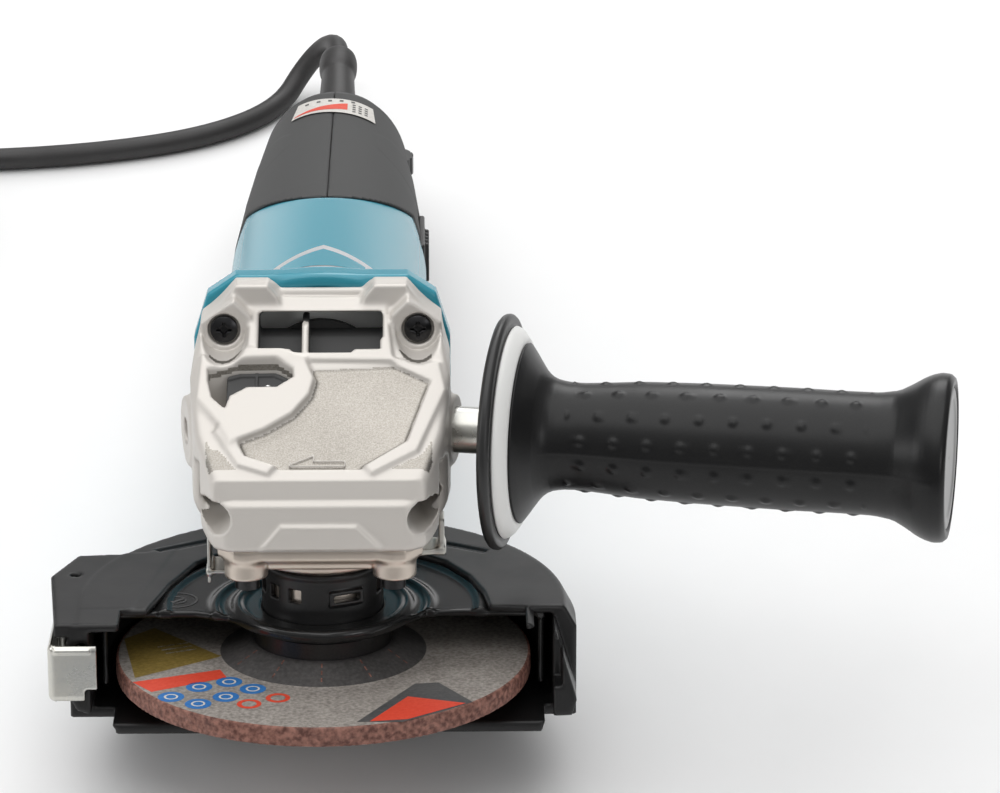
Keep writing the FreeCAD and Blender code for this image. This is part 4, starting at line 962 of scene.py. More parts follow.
    def arrow(self) -> None:
        """The raised outline of a plain arrow, low on the apron: a thin bar along seven corners."""
        corners = np.array([(-8.6, -27.4), (-1.6, -24.4), (-1.6, -26.3), (7.6, -26.3), (7.6, -27.9),
                            (-8.6, -27.9), (-8.6, -27.4)])
        shares = np.linspace(0, 1, 12, endpoint=False)
        line = np.vstack([a + shares[:, None] * (b - a) for a, b in zip(corners[:-1], corners[1:])])
        c, s = math.cos(self.slope), math.sin(self.slope)
        u = line[:, 1] / c
        lift = -0.48
        points = np.stack([line[:, 0], u * c - lift * s, self.slope_height + u * s + lift * c], axis=1)
        sides = 8
        net, _ = ring_path(np.vstack([points, points[:1]]), 0.16, sides)
        faces = grid_faces(len(points), sides, True, True)
        add_piece("turning_arrow", net[:len(points) * sides], faces, "tool", "cast_silver", CAST_SILVER)


@dataclass
class BearingBox:
    """The rough casting under the housing: a flange, four bosses, an arch and the neck for the guard."""

    step: float = 0.5

    def build(self) -> None:
        """Make the casting with its bores."""
        flange = Form.plate(mirrored([(25, -30), (30, -25), (32, 0), (31, 25), (24, 31)]), 39.3, 42.98,
                            rounding=0.6)
        bosses = [Form.rod(6.4, 33, 42, (21.8, level), rounding=0.5).both_sides() for level in (-24, 24)]
        drum = Form.rod(24.5, 33, 42, rounding=0.8)
        apron = Form.plate([(-15, -29), (15, -29), (18, -20), (-18, -20)], 36.2, 42, rounding=0.8)
        neck = Form.rod(16.4, 17, 34, rounding=0.4)
        form = flange.joined(drum, apron, *bosses, fillet=2.4).joined(neck)
        form = form.without(Form.rod(16, 33.2, 45), Form.rod(12, 15, 34),
                            Form.rod(2.5, 32, 45, (21.5, -24)).both_sides(),
                            Form.rod(2.5, 32, 45, (21.5, 24)).both_sides(), fillet=0.3)
        add_form("bearing_box_casting", form, (-33, -31.5, 16), (33, 32, 44), self.step, "tool", "cast_plain",
                 CAST_PLAIN, ["bearing_box"])


@dataclass
class HousingScrews:
    """Four long screws with domed, cross-slotted heads.

    Args:
        head: radius of the head.
        shank: radius of the shank.
    """

    head: float = 4.1
    shank: float = 2.4
    spots: tuple[Pair, ...] = ((29, 94.8), (-29, 94.8), (30.5, 54), (-30.5, 54))

    def build(self) -> None:
        """Make one screw along Y and set it at the four places."""
        dome = Form(lambda x, y, z: np.sqrt(x * x + (y - 28.4) ** 2 + z * z) - 9.2)
        head = Form.rod(self.head, 19.4, 22, (0, 0), "Y", 0.3).within(dome)
        slots = [Form.block((-2.3, 18, -0.45), (2.3, 21.2, 0.45), 0.1),
                 Form.block((-0.45, 18, -2.3), (0.45, 21.2, 2.3), 0.1),
                 Form.rod(1.15, 18, 21.2, (0, 0), "Y", 0.3)]
        form = head.without(*slots).joined(Form.rod(self.shank, 21.5, 41.5, (0, 0), "Y", 0.3))
        points, faces = skin(form, (-4.5, 19, -4.5), (4.5, 42, 4.5), 0.24)
        parts = [(points + np.array([x, 0, z]), faces) for x, z in self.spots]
        add_piece("housing_screws", *stacked(parts), "tool", "black_steel", SCREW_BLACK,
                  ["gear_housing_screws"])


@dataclass
class ShaftLock:
    """The moulded button that fills the housing's pocket, with a small rivet in its middle."""

    gap: float = 0.45

    def build(self) -> None:
        """Make the button: the pocket's outline drawn in by the gap, on its stem."""
        outline = GearHousing().pocket
        cap = Form(lambda x, y, z: outline_distance(x, y, outline) + self.gap)
        cap = cap.within(Form.block((-27.6, -20, 79.8), (0, 20, 86)),
                         Form(lambda x, y, z: (z - 83.3 - 0.4 * y) * 0.93), fillet=0.8)
        dish = Form(lambda x, y, z: (82.5 + 0.4 * y - z) * 0.93).within(
            Form(lambda x, y, z: outline_distance(x, y, outline) + 2.0))
        ridge = Form(lambda x, y, z: np.maximum(np.abs(x + 18.8) - 0.4, (z - 83.2 - 0.4 * y) * 0.93)).within(
            Form.block((-20, -2.6, 80), (-17, 6.0, 87)))
        cap = cap.without(dish, fillet=0.5).joined(ridge, fillet=0.4)
        cap = cap.joined(Form.rod(3.4, 78.4, 80.5, (-14.8, 1.8)))
        cap = cap.without(Form.rod(2.24, 77, 81.5, (-14.8, 1.8)))
        add_form("lock_button", cap, (-28, -12, 78), (-7, 8, 84.5), 0.28, "shaft_lock", "dark_plastic",
                 DARK_PLASTIC_AND_SHADE, ["shaft_lock_button"])
        rivet = lathe([(0, 82.6), (1.15, 82.6), (1.15, 83.3), (0.8, 83.6), (0.45, 83.3), (0, 83.3)], 40, 0.3,
                      0.15)
        add_piece("button_rivet", rivet[0] + np.array([-15.4, 0.3, 0]), rivet[1], "shaft_lock", "steel",
                  STEEL)


# ---------------------------------------------------------------- motor housing and tail


def seam_height(z: np.ndarray) -> np.ndarray:
    """How far back the coloured housing reaches at each height: it sweeps back down the sides."""
    return np.interp(z, [30, 66, 84, 90, 106.5, 120], [138, 139, 147, 158, 124, 118])


def sleeve_axes() -> np.ndarray:
    """The cord sleeve's own X, Y and Z as rows: its Z climbs rearwards by the sleeve's rise."""
    way = np.array([0.0, math.cos(SLEEVE_RISE), math.sin(SLEEVE_RISE)])
    return np.array([[1.0, 0.0, 0.0], np.cross(way, [1.0, 0.0, 0.0]), way])


OUTSIDE_RUN = ((34, BARREL_RADIUS, BARREL_RADIUS), (141, 31.6, 31.6), (180, 30.2, 31.2), (235, 27.4, 30.6),
               (262, 25.6, 30.5), (272, 23.6, 28.4), (278, 20.6, 25.6), (281, 17.6, 22.6))
INSIDE_RUN = ((120, BORE_RADIUS, BORE_RADIUS), (141, BORE_RADIUS, BORE_RADIUS), (180, 27.4, 28.4),
              (235, 24.6, 27.8), (262, 22.8, 27.7), (272, 20.8, 25.6), (278, 17.6, 22.6))
SWITCH_BED = ((28.7, 143, 65), (40, 189, 85))


@dataclass
class MotorHousing:
    """The coloured moulding: a flange that carries on the casting's outline and a round barrel."""

    step: float = 0.83

    def build(self) -> None:
        """Make the barrel with its bore, rear bearing web, air ways and side ribs."""
        flange = Form.plate(mirrored([(29, 44.5), (37.5, 50), (38.8, 60), (38.8, 88), (34.6, 101.5),
                                      (26, 107.3)]),
                            34.05, 42, "Y", 1.2)
        barrel = Form.oval_run(OUTSIDE_RUN).within(Form.block((-50, 34.05, 0), (50, 190, 150)))
        ribs = [Form.block((29.5, 41, level - 1.1), (36.5 - 0.06 * i, 62, level + 1.1), 0.8).both_sides()
                for i, level in enumerate((60, 67.5, 75, 82.5))]
        form = barrel.joined(flange, *ribs, fillet=4.0)
        ahead = Form(lambda x, y, z: 0.46 * (y - seam_height(z) + 0.12))
        form = form.within(ahead, fillet=0.5)
        room = Form.rod(BORE_RADIUS, 30, 130.5, (0, MOTOR_AXIS), "Y")
        behind = Form.rod(BORE_RADIUS, 141, 200, (0, MOTOR_AXIS), "Y")
        turns = [math.radians(60 * i + 30) for i in range(6)]
        spots = [(19.5 * math.cos(turn), MOTOR_AXIS + 19.5 * math.sin(turn)) for turn in turns]
        ways = [Form.rod(6.5, 129, 142, spot, "Y") for spot in spots]
        holes = [Form.rod(2.45, 30, 43, spot, "Y") for spot in HousingScrews().spots]
        web = Form.rod(29.2, 130.5, 141, (0, MOTOR_AXIS), "Y")
        bed = Form.block(*SWITCH_BED, 0.6)
        form = form.joined(web).without(room, behind, bed, Form.rod(9.5, 130, 142, (0, MOTOR_AXIS), "Y"),
                                        *ways, *holes)
        add_form("motor_barrel", form, (-40.5, 34, 42), (40.5, 165, 108.5), self.step, "tool", "teal_plastic",
                 TEAL, ["motor_housing"])
        self.badge()

    def badge(self) -> None:
        """A blank plate on the barrel's top: a pale shield with a darker, smaller one over it."""
        def on_barrel(lift: float) -> Callable[[np.ndarray, np.ndarray], np.ndarray]:
            """The height of a circle round the motor's axis, a lift wider than the barrel."""
            return lambda x, y: MOTOR_AXIS + np.sqrt((BARREL_RADIUS + lift) ** 2 - x * x)

        for name, shrink, lift, finish, slot in (("badge_plate", 1.0, 0.10, BADGE, "nickel"),
                                                 ("badge_field", 0.7, 0.18, TEAL, "teal_plastic")):
            outer = [(x * shrink, 54 + (y - 54) * shrink) for x, y in
                     ((0, 43), (-18.4, 43.2), (-18.6, 52.5), (0, 68.4), (18.6, 52.5), (18.4, 43.2))]
            left = patch([outer[0], outer[3], outer[2], outer[1]], on_barrel(lift))
            right = patch([outer[0], outer[5], outer[4], outer[3]], on_barrel(lift))
            add_piece(name, *stacked([left, right]), "tool", slot, finish)


@dataclass
class Tail:
    """The rear handle: two moulded shells, with a bed for the slide switch and a slot for the dial."""

    step: float = 0.8
    screws: tuple[Pair, ...] = ((150, 51), (222, 51), (268, 54))

    def outside(self) -> Form:
        """The shells' walls: the ovals less the same ovals drawn in by the wall."""
        form = Form.oval_run(OUTSIDE_RUN, TAIL_SQUARENESS).within(
            Form(lambda x, y, z: 0.46 * (seam_height(z) + 0.12 - y)), fillet=0.6)
        swollen = tuple((y, w + GRIP_SWELL, h + GRIP_SWELL) for y, w, h in OUTSIDE_RUN[2:5])
        grip = Form.oval_run(swollen).within(
            Form.block((-60, 192, 48), (60, 228, 102), 12), fillet=0.6)
        form = form.joined(grip, fillet=0.8).without(Form.oval_run(INSIDE_RUN, TAIL_SQUARENESS))
        bosses = [Form.rod(4.2, -18, 17, spot, "X") for spot in self.screws]
        return form.joined(*[boss.within(Form.oval_run(OUTSIDE_RUN)) for boss in bosses])

    def openings(self) -> list[Form]:
        """Beds, slots, screw ways and the air inlets on the left."""
        inlets = [Form.block((-40, y, 62), (-15, y + 2.2, 84), 0.9) for y in range(240, 262, 5)]
        return [Form.block(*SWITCH_BED, 0.6), Form.block((20, 150, 72), (40, 176, 78)),
                Form.block((10, 235, 80.2), (40, 259, 87.8), 0.5),
                Form.rod(7.7, -9, 6).moved(SLEEVE_ROOT, sleeve_axes()),
                *[Form.rod(3.05, 14, 40, spot, "X") for spot in self.screws],
                *[Form.rod(1.65, -15.05, 15, spot, "X") for spot in self.screws], *inlets]

    def build(self) -> None:
        """Make each half with a fine groove where the two meet."""
        form = self.outside().without(*self.openings(), fillet=0.3)
        for name, side in (("right", 1), ("left", -1)):
            half = form.within(Form(lambda x, y, z, side=side: 0.06 - side * x), fillet=0.5)
            low, high = ((0, 122, 43), (33, 283, 108)) if side > 0 else ((-33, 122, 43), (0, 283, 108))
            add_form(f"tail_half_{name}", half, low, high, self.step, "tool", "dark_plastic", DARK_PLASTIC_AND_SHADE,
                     [f"tail_shell_{name}"])
        self.scale_label()

    def scale_label(self) -> None:
        """A plain label on top near the dial: pale, with a red wedge and a block of small ticks."""
        ys, widths, heights = (np.array(column) for column in zip(*OUTSIDE_RUN))

        def on_tail(lift: float) -> Callable[[np.ndarray, np.ndarray], np.ndarray]:
            """The height of the swollen grip's oval, raised by the lift."""
            def height(x: np.ndarray, y: np.ndarray) -> np.ndarray:
                """Half the oval's height times the oval rule's root, above the motor's axis."""
                w, h = np.interp(y, ys, widths) + GRIP_SWELL, np.interp(y, ys, heights) + GRIP_SWELL
                rest = 1 - np.abs(x / w) ** TAIL_SQUARENESS
                return MOTOR_AXIS + (h + lift) * rest ** (1 / TAIL_SQUARENESS)
            return height

        add_piece("scale_label", *patch([(-14.5, 236), (14.5, 232), (13.5, 251), (-12.5, 254)], on_tail(0.10),
                                        30),
                  "tool", "white_plastic", PRINT_WHITE)
        add_piece("scale_wedge", *patch([(-13.6, 237.5), (4.8, 238), (4.8, 246.5), (-13.4, 238.6)],
                                        on_tail(0.18)),
                  "tool", "teal_plastic", PRINT_RED)
        marks = [patch([(x, y), (x + 1.1, y), (x + 1.1, y + 1.6), (x, y + 1.6)], on_tail(0.18), 3)
                 for x in (6.5, 8.6, 10.7) for y in (236, 239, 242, 245)]
        marks += [patch([(x, 248.4), (x + 1.3, 248.4), (x + 1.3, 250.4), (x, 250.4)], on_tail(0.18), 3)
                  for x in (-10, -6, -2, 2, 6)]
        add_piece("scale_ticks", *stacked(marks), "tool", "dark_plastic", PRINT_GREY)


@dataclass
class Controls:
    """The slide switch's knob and the cord's tapered sleeve."""

    def build(self) -> None:
        """Make both pieces."""
        plate = Form.block((29, 149.5, 67), (31.2, 185, 83), 0.7)
        ribs = [Form.block((30, y, 68.5), (32.6, y + 1.6, 81.5), 0.5) for y in (156, 160, 164, 168, 172)]
        knob = plate.joined(*ribs, fillet=0.6).joined(Form.block((21.5, 164, 73), (29.5, 172, 77), 0.2))
        add_form("slide_knob", knob, (21, 149, 66), (33, 186, 84), 0.4, "switch", "black_plastic",
                 BLACK_PLASTIC, ["switch_slider"])
        profile = [(0, -6), (7.6, -6), (7.6, 1.2), (7.0, 1.6), (7.0, 2.6), (7.6, 3), (7.2, 12), (6.1, 40),
                   (5.9, 46), (6.6, 48.2), (6.9, 51), (6.9, 55), (6.4, SLEEVE_LENGTH), (0, SLEEVE_LENGTH)]
        points, faces = lathe(profile, 64, 1.0, 0.5)
        add_piece("lead_sleeve", points @ sleeve_axes() + np.array(SLEEVE_ROOT), faces, "tool", "rubber",
                  LEAD_RUBBER, ["cord_sleeve"])


# ---------------------------------------------------------------- side handle


@dataclass
class SideHandle:
    """The side handle: a flange, a pale damping ring, a studded rubber grip and its inset cap.

    Args:
        rows: how many rows of studs run along the grip.
        pitch: the studs' distance along a row.
        stud: how high each one stands.
    """

    rows: int = 13
    pitch: float = 10.0
    stud: float = 0.55

    def add(self, name: str, profile: Sequence[Pair], turns: int, spacing: float, slot: str, finish: Finish,
            node: str) -> None:
        """Turn an outline about the handle's axis and add it in place of its node."""
        zero, axes = handle_frame()
        points, faces = lathe(profile, turns, spacing, 0.5)
        add_piece(name, points @ axes + zero, faces, "tool", slot, finish, [node])

    def build(self) -> None:
        """Make the four turned pieces."""
        self.add("grip_flange", [(4.05, 9.6), (24, 9.6), (26, 10.0), (31.6, 10.2), (34.6, 11.0), (35.4, 12.4),
                                 (35.0, 13.8), (33.6, 14.4), (32.4, 14.0), (31.9, 14.4), (4.05, 14.4)], 160,
                 1.0, "black_plastic", BLACK_PLASTIC, "handle_flange")
        self.add("pale_ring", [(20, 14.42), (31.8, 14.42), (31.6, 15.6), (30.6, 16.8), (28.2, 18.6),
                               (20, 18.6)], 160,
                 0.8, "white_rubber", WHITE_RUBBER, "damping_ring")
        self.add("grip_cap", [(0, 143.5), (20.9, 143.5), (20.9, 145.2), (20.2, 145.6), (17.6, 145.6),
                              (17.2, 145.0), (0, 145.0)], 96, 1.2, "grey_plastic", GREY_PLASTIC,
                 "handle_end_cap")
        self.grip()

    def grip(self) -> None:
        """The grip: a turned outline, on which each point of the outside is pushed out by the nearest stud.

        Rows of studs run along it and every second row is shifted by half a pitch.  A fine parting line
        runs along both sides.
        """
        profile = [(4.05, 14.42), (19.9, 14.42), (19.9, 18.62), (27.6, 18.62), (25.6, 20.2), (22.6, 22.2),
                   (18.9, 24.8), (16.9, 27.4), (16.1, 31), (15.9, 36), (16.5, 44), (17.3, 54), (17.8, 70),
                   (18.0, 86), (18.1, 100), (18.0, 114), (18.1, 124), (19.0, 129.6), (21.0, 133.4),
                   (23.4, 137.2), (24.7, 140.4), (25.0, 143), (24.4, 145.4), (22.6, 146), (21.2, 145.6),
                   (21, 143.4), (17, 143.4), (17, 124), (9, 118), (4.05, 118)]
        points, faces = lathe(profile, 190, 0.68, 0.9)
        x, y, t = points.T
        r = np.hypot(x, y)
        angle = np.arctan2(y, x)
        step = 2 * math.pi / self.rows
        row = np.round(angle / step)
        shift = 0.5 * self.pitch * (row % 2)
        slot = np.round((t - 38 - shift) / self.pitch)
        along = t - 38 - shift - slot * self.pitch
        across = (angle - row * step) * r
        away = np.hypot(along, across) / 1.9
        rise = self.stud * np.clip(1 - away ** 2, 0, 1) ** 1.3
        outside = (t > 33) & (t < 122) & (r > 15)
        line = np.exp(-(np.minimum(np.abs(y), 9) / 0.35) ** 2) * 0.12 * ((t > 26) & (t < 142) & (r > 15))
        grow = np.where(outside, rise, 0) + line
        scale = 1 + grow / np.maximum(r, 1)
        points = np.stack([x * scale, y * scale, t], axis=1)
        zero, axes = handle_frame()
        add_piece("rubber_grip", points @ axes + zero, faces, "tool", "rubber", GRIP_RUBBER, ["handle_grip"])


# ---------------------------------------------------------------- disc


@dataclass
class GrindingDisc:
    """The depressed-centre disc: a gritty rim, a dark hub and plain printed marks.

    Args:
        radius: of the disc; not used.
        cone: radius at which the hub's cone starts to rise.
        hub: radius of the raised hub.
        rise: how far the hub stands above the face.
    """

    radius: float = 62.5
    cone: float = 31.5
    hub: float = 22.0
    rise: float = 4.5

    def face(self, x: np.ndarray, y: np.ndarray) -> np.ndarray:
        """The height of the disc's upper side, with the print's own thickness."""
        return np.interp(np.hypot(x, y), [self.hub, self.cone], [self.rise, 0]) + 0.05

    def build(self) -> None:
        """Turn the disc, roughen its rim with waves of several sizes, and print on it."""
        points, faces = lathe([(11.1, -1.5), (20, -1.5), (29.5, -6), (62.1, -6), (62.5, -5.6), (62.5, -0.4),
                               (62.1, 0), (31.5, 0), (22, 4.5), (11.1, 4.5)], 360, 0.7, 0.5)
        x, y, z = points.T
        angle, r = np.arctan2(y, x), np.hypot(x, y)
        chips = (np.sin(83 * angle + 9 * z) * np.sin(131 * angle - 5 * z) + np.sin(197 * angle + 3 * z)) * 0.12
        rough = np.where(r > 61.9, np.minimum(chips - 0.12, 0), 0)
        points = np.stack([x * (1 + rough / r), y * (1 + rough / r), z], axis=1)
        piece = add_piece("abrasive_disc", points, faces, "spindle", "abrasive", DISC_FACE, ["grinding_disc"])
        paint_where(piece, DISC_RIM, lambda m: (np.hypot(m[:, 0], m[:, 1]) > 61.6) | (m[:, 2] < -5.9))
        paint_where(piece, DISC_HUB, lambda m: (np.hypot(m[:, 0], m[:, 1]) < 31.0) & (m[:, 2] > -0.2))
        self.print_marks()

    def print_marks(self) -> None:
        """Flat marks: an olive panel, a red band, blue and red rounds, and a framed red panel."""
        face = self.face
        olive = [patch([(-60.6, 9.4), (-52, 18.5), (-30.5, -5.5), (-55.5, -22.5)], face)]
        red = [patch([(-56, -25.8), (-30.5, -16.2), (-28.2, -22.6), (-50, -33.6)], face),
               patch([(14.5, -57.5), (25.5, -38.5), (42.5, -44), (25.5, -56)],
                     lambda x, y: face(x, y) + 0.05),
               ring_patch((-20.9, -43.4), 2.2, 3.6, face), ring_patch((-12.6, -38.9), 2.2, 3.6, face)]
        panel = [patch([(10.8, -57.7), (27.5, -28.5), (34.5, -27.5), (44.5, -43)], face),
                 patch([(10.8, -57.7), (44.5, -43), (36, -50), (24, -58)], face)]
        rounds = [(-44, -37.6), (-36.1, -29.9), (-27.4, -26.1), (-35.8, -43.1), (-27.9, -37.8),
                  (-20.2, -31.7)]
        blue = [round_patch(spot, 3.9, face) for spot in rounds]
        pale = [ring_patch(spot, 1.5, 2.1, lambda x, y: face(x, y) + 0.05) for spot in rounds]
        pale += [patch([(x, y), (x + 9, y + 3.6), (x + 8.7, y + 4.4), (x - 0.3, y + 0.8)], face, 4)
                 for x, y in ((-50, 2), (-48.6, -0.6), (-47.2, -3.2))]
        dashes = []
        for turn in np.radians([-150, -120, -90, -60, -30, 30, 90, 150]):
            c, s = math.cos(turn), math.sin(turn)
            dashes += [patch([(r * c - 0.22 * s, r * s + 0.22 * c), (r * c + 0.22 * s, r * s - 0.22 * c),
                              ((r + 1.5) * c + 0.22 * s, (r + 1.5) * s - 0.22 * c),
                              ((r + 1.5) * c - 0.22 * s, (r + 1.5) * s + 0.22 * c)], face, 3)
                       for r in (22.6, 25.2, 27.8)]
        for name, parts, finish in (("olive_panel", olive, PRINT_OLIVE), ("red_marks", red, PRINT_RED),
                                    ("dark_panel", panel, PRINT_GREY), ("blue_rounds", blue, PRINT_BLUE),
                                    ("pale_marks", pale, PRINT_WHITE), ("hub_dashes", dashes, DISC_RIM)):
            add_piece(name, *stacked(parts), "spindle", "abrasive", finish)


# ---------------------------------------------------------------- guard


@dataclass
class WheelGuard:
    """The painted steel guard: a ribbed plate with a rolled collar, a rim wall and a slotted band.

    Args:
        radius: of the rim.
        low, high: the plate's two faces.
    """

    radius: float = 66.4
    low: float = 12.5
    high: float = 14.5
    step: float = 0.7

    def build(self) -> None:
        """Make the guard, its band and its round mark."""
        edge = [(-67.7, -6), (-52.4, -6), (-38.5, -5.8), (-27.9, -9.3), (-20.1, -16.9), (-9.3, -24.4),
                (1.4, -26.9), (14.9, -22.4), (22.3, -15.1), (31, -6.2), (41.4, -5.5), (67.8, -6), (70, 70),
                (-70, 70)]
        plate = Form.plate(edge, self.low, self.high, rounding=0.4).within(Form.rod(self.radius, 12, 15))
        ridges = [hoop(32.5, 1.3, self.high - 0.5), hoop(47.5, 1.5, self.high - 0.8)]
        beads = ridges[0].joined(ridges[1]).within(Form.plate(edge, self.low + 0.2, 18))
        collar = hoop(25.6, 1.6, self.high)
        centre = Form.rod(26.6, self.low, self.high, rounding=0.3)
        wall = Form.rod(self.radius, -9, self.high, rounding=0.8).without(
            Form.rod(self.radius - 1.6, -12, 20))
        wall = wall.within(Form.block((-70, -6, -12), (70, 70, 20)))
        form = plate.joined(beads, collar, centre, wall, fillet=1.6).without(Form.rod(18.2, 8, 20))
        add_form("steel_guard", form, (-67, -27.5, -9.2), (67, 67, 16.5), self.step, "guard", "black_paint",
                 BLACK_PAINT, ["wheel_guard"])
        self.band()
        mark = [ring_patch((-44, 4), 5.6, 6.3, self.top), ring_patch((-44, 4), 2.4, 3.0, self.top),
                patch([(-46.6, 1.6), (-41.6, 6.2), (-41.0, 5.4), (-46.0, 0.8)], self.top, 4)]
        add_piece("guard_mark", *stacked(mark), "guard", "black_paint", PRINT_GREY)

    def top(self, x: np.ndarray, y: np.ndarray) -> np.ndarray:
        """The height of a mark on the plate: just over its upper face, and over the outer bead."""
        r = np.hypot(x, y)
        bead = self.high - 0.8 + np.sqrt(np.maximum(1.5 ** 2 - (r - 47.5) ** 2, 0))
        return np.maximum(self.high, bead) + 0.12

    def band(self) -> None:
        """The band: a tube with square windows all round and one long slot with a pressed lip."""
        tube = Form.rod(18.18, self.low, 30, rounding=0.3).without(Form.rod(16.48, 10, 32))
        windows = []
        for turn in (-51, -26, *range(70, 300, 24)):
            c, s = math.cos(math.radians(turn)), math.sin(math.radians(turn))
            axes = np.array([[c, s, 0], [s, -c, 0], [0, 0, 1]])
            windows.append(Form.block((-2.0, 12, 21), (2.0, 24, 25.2), 0.4).moved((0, 0, 0), axes))
        c, s = math.cos(math.radians(24)), math.sin(math.radians(24))
        axes = np.array([[c, s, 0], [s, -c, 0], [0, 0, 1]])
        lip = Form.block((-5.4, 17.4, 20.6), (5.4, 18.9, 25.2), 0.5).moved((0, 0, 0), axes)
        slot = Form.block((-4.2, 12, 21.8), (4.2, 24, 24.0), 0.6).moved((0, 0, 0), axes)
        form = tube.joined(lip, hoop(17.4, 0.95, 29.2), fillet=0.8).without(Form.rod(16.48, 10, 32), slot,
                                                                            *windows,
                                                                           fillet=0.2)
        add_form("slotted_band", form, (-20, -20, 12), (20, 20, 31), 0.4, "guard", "black_paint", BAND_PAINT,
                 ["guard_band"])


@dataclass
class CuttingCover:
    """The clip-on plastic cover: a drum open at the front, with a chamfered top and an ear on the left.

    Args:
        radius: of the drum.
        top, bottom: its heights.
        wall: its thickness.
    """

    radius: float = 76.0
    top: float = 17.0
    bottom: float = -18.0
    wall: float = 3.6
    step: float = 0.8

    def shell(self) -> Form:
        """The solid outside: drum, skirt and ear."""
        side = [(0, self.bottom), (self.radius - 1, self.bottom), (self.radius, self.bottom + 1),
                (self.radius, 10.4), (72.9, 16.2), (72, self.top), (0, self.top)]
        drum = Form.turned(side).within(Form.block((-90, -1, -30), (90, 90, 30)))
        front = Form.plate([(-76, -18), (76, -18), (76, 10.4), (72.9, 16.2), (72, 17), (-72, 17),
                            (-72.9, 16.2), (-76, 10.4)], -23, 0, "Y")
        ear = Form.plate([(-60, -22.5), (-79, -22.5), (-83, 18.9), (-75.8, 37.2), (-55, 38.6), (-46, 44)],
                         12.8, 17, rounding=0.6)
        lug = Form.block((-81.2, -2.6, -12), (-70, 5.4, -7.3), 0.6)
        outline = Form.plate([(-84, 17.2), (60.8, 17.2), (64.7, 14.2), (69.5, 14), (75.9, -8), (74.3, -12.8),
                              (66.8, -13.1), (65.3, -18), (-61.7, -18), (-61.7, -16.8), (-63.6, -13.3),
                              (-70.1, -11.3), (-73, -10.3), (-74.7, -6.8), (-76.2, -6), (-76.2, 12.5),
                              (-84, 12.5)],
                             -24, -9, "Y").joined(Form.block((-90, -9.5, -30), (90, 90, 30)))
        return drum.joined(front).within(outline, fillet=1.0).joined(ear, lug, fillet=1.0)

    def rooms(self) -> list[Form]:
        """The hollow, the mouth, the opening in the top and the one underneath."""
        eye = Form.plate([(-60, -30), (-60, -10.5), (-52.2, -10.5), (-48.6, 2.9), (-46.5, 11.4),
                          (-39.2, 30.4), (-30.7, 40), (-10, 48.6), (8, 49), (24.3, 41.7), (36.6, 30.8),
                          (44.1, 17.5), (48.2, 3.7), (49.9, -8.1), (60.6, -9.4), (60.6, -30)], 10, 20)
        return [Form.rod(68.8, self.bottom + self.wall, 14.7), eye,
                Form.block((-68.8, -40, self.bottom + self.wall), (68.8, 0, 14.7), 0.4),
                Form.rod(28, -20, 0), Form.block((-28, -40, -20), (28, -8, 0))]

    def build(self) -> None:
        """Make the cover with its slots, ear hole and pin way."""
        slots = [Form.plate([(-51, 39.2), (-27.5, 52.6), (-29, 55.2), (-52.6, 41.8)], 16.1, 19, rounding=0.5),
                 Form.plate([(25.5, 50.4), (48.6, 37.4), (50.2, 40), (27, 53)], 16.1, 19, rounding=0.5),
                 Form.block((69, -26, -3.5), (71.4, -14, 11.2), 0.6),
                 Form.block((-72.2, -26, -3.5), (-69.8, -14, 11.2), 0.6)]
        form = self.shell().without(*self.rooms(), fillet=0.5).without(*slots, fillet=0.5)
        form = form.without(Form.rod(1.6, 8, 20, (-75.5, 20)), Form.rod(1.54, -13, 15.5, (-78.6, 2)),
                            Form.rod(3.1, -7.2, 12.4, (-78.6, 2)), fillet=0.2)
        add_form("clip_on_cover", form, (-84, -23.5, -18.5), (77, 77, 17.5), self.step, "guard",
                 "black_plastic", COVER_PLASTIC, ["cutting_cover"])


@dataclass
class CoverClip:
    """The plated spring clip: a barrel on its pin, a side and a face bent from one sheet."""

    def build(self) -> None:
        """Make the bent sheet: a rounded corner between side and face, a hook and a pressed rib."""
        corner = Form.block((-81.1, -25.8, -7), (-60, 3.6, 12), 2.6).without(
            Form.block((-80.1, -24.8, -20), (-50, 20, 20), 1.7))
        sheet = corner.within(Form.block((-82, -27, -7), (-66.5, 2, 12)))
        notch = Form.block((-70.2, -27, -9), (-64, -22, -2.4), 1.0)
        barrel = Form.rod(2.5, -7, 12, (-78.6, 2), rounding=0.2)
        hook = Form.block((-68.5, -25.2, -1.6), (-67, -23.4, 10), 0.3)
        rib = Form.block((-79, -26.3, 9.2), (-68.4, -25.2, 10.4), 0.5)
        form = sheet.without(notch, fillet=0.4).joined(barrel, hook, rib, fillet=0.6)
        form = form.without(Form.rod(1.56, -20, 20, (-78.6, 2)), fillet=0.1)
        add_form("plated_clip", form, (-82, -27, -7.5), (-66, 5, 12.5), 0.34, "clip", "zinc", ZINC,
                 ["cover_clip"])


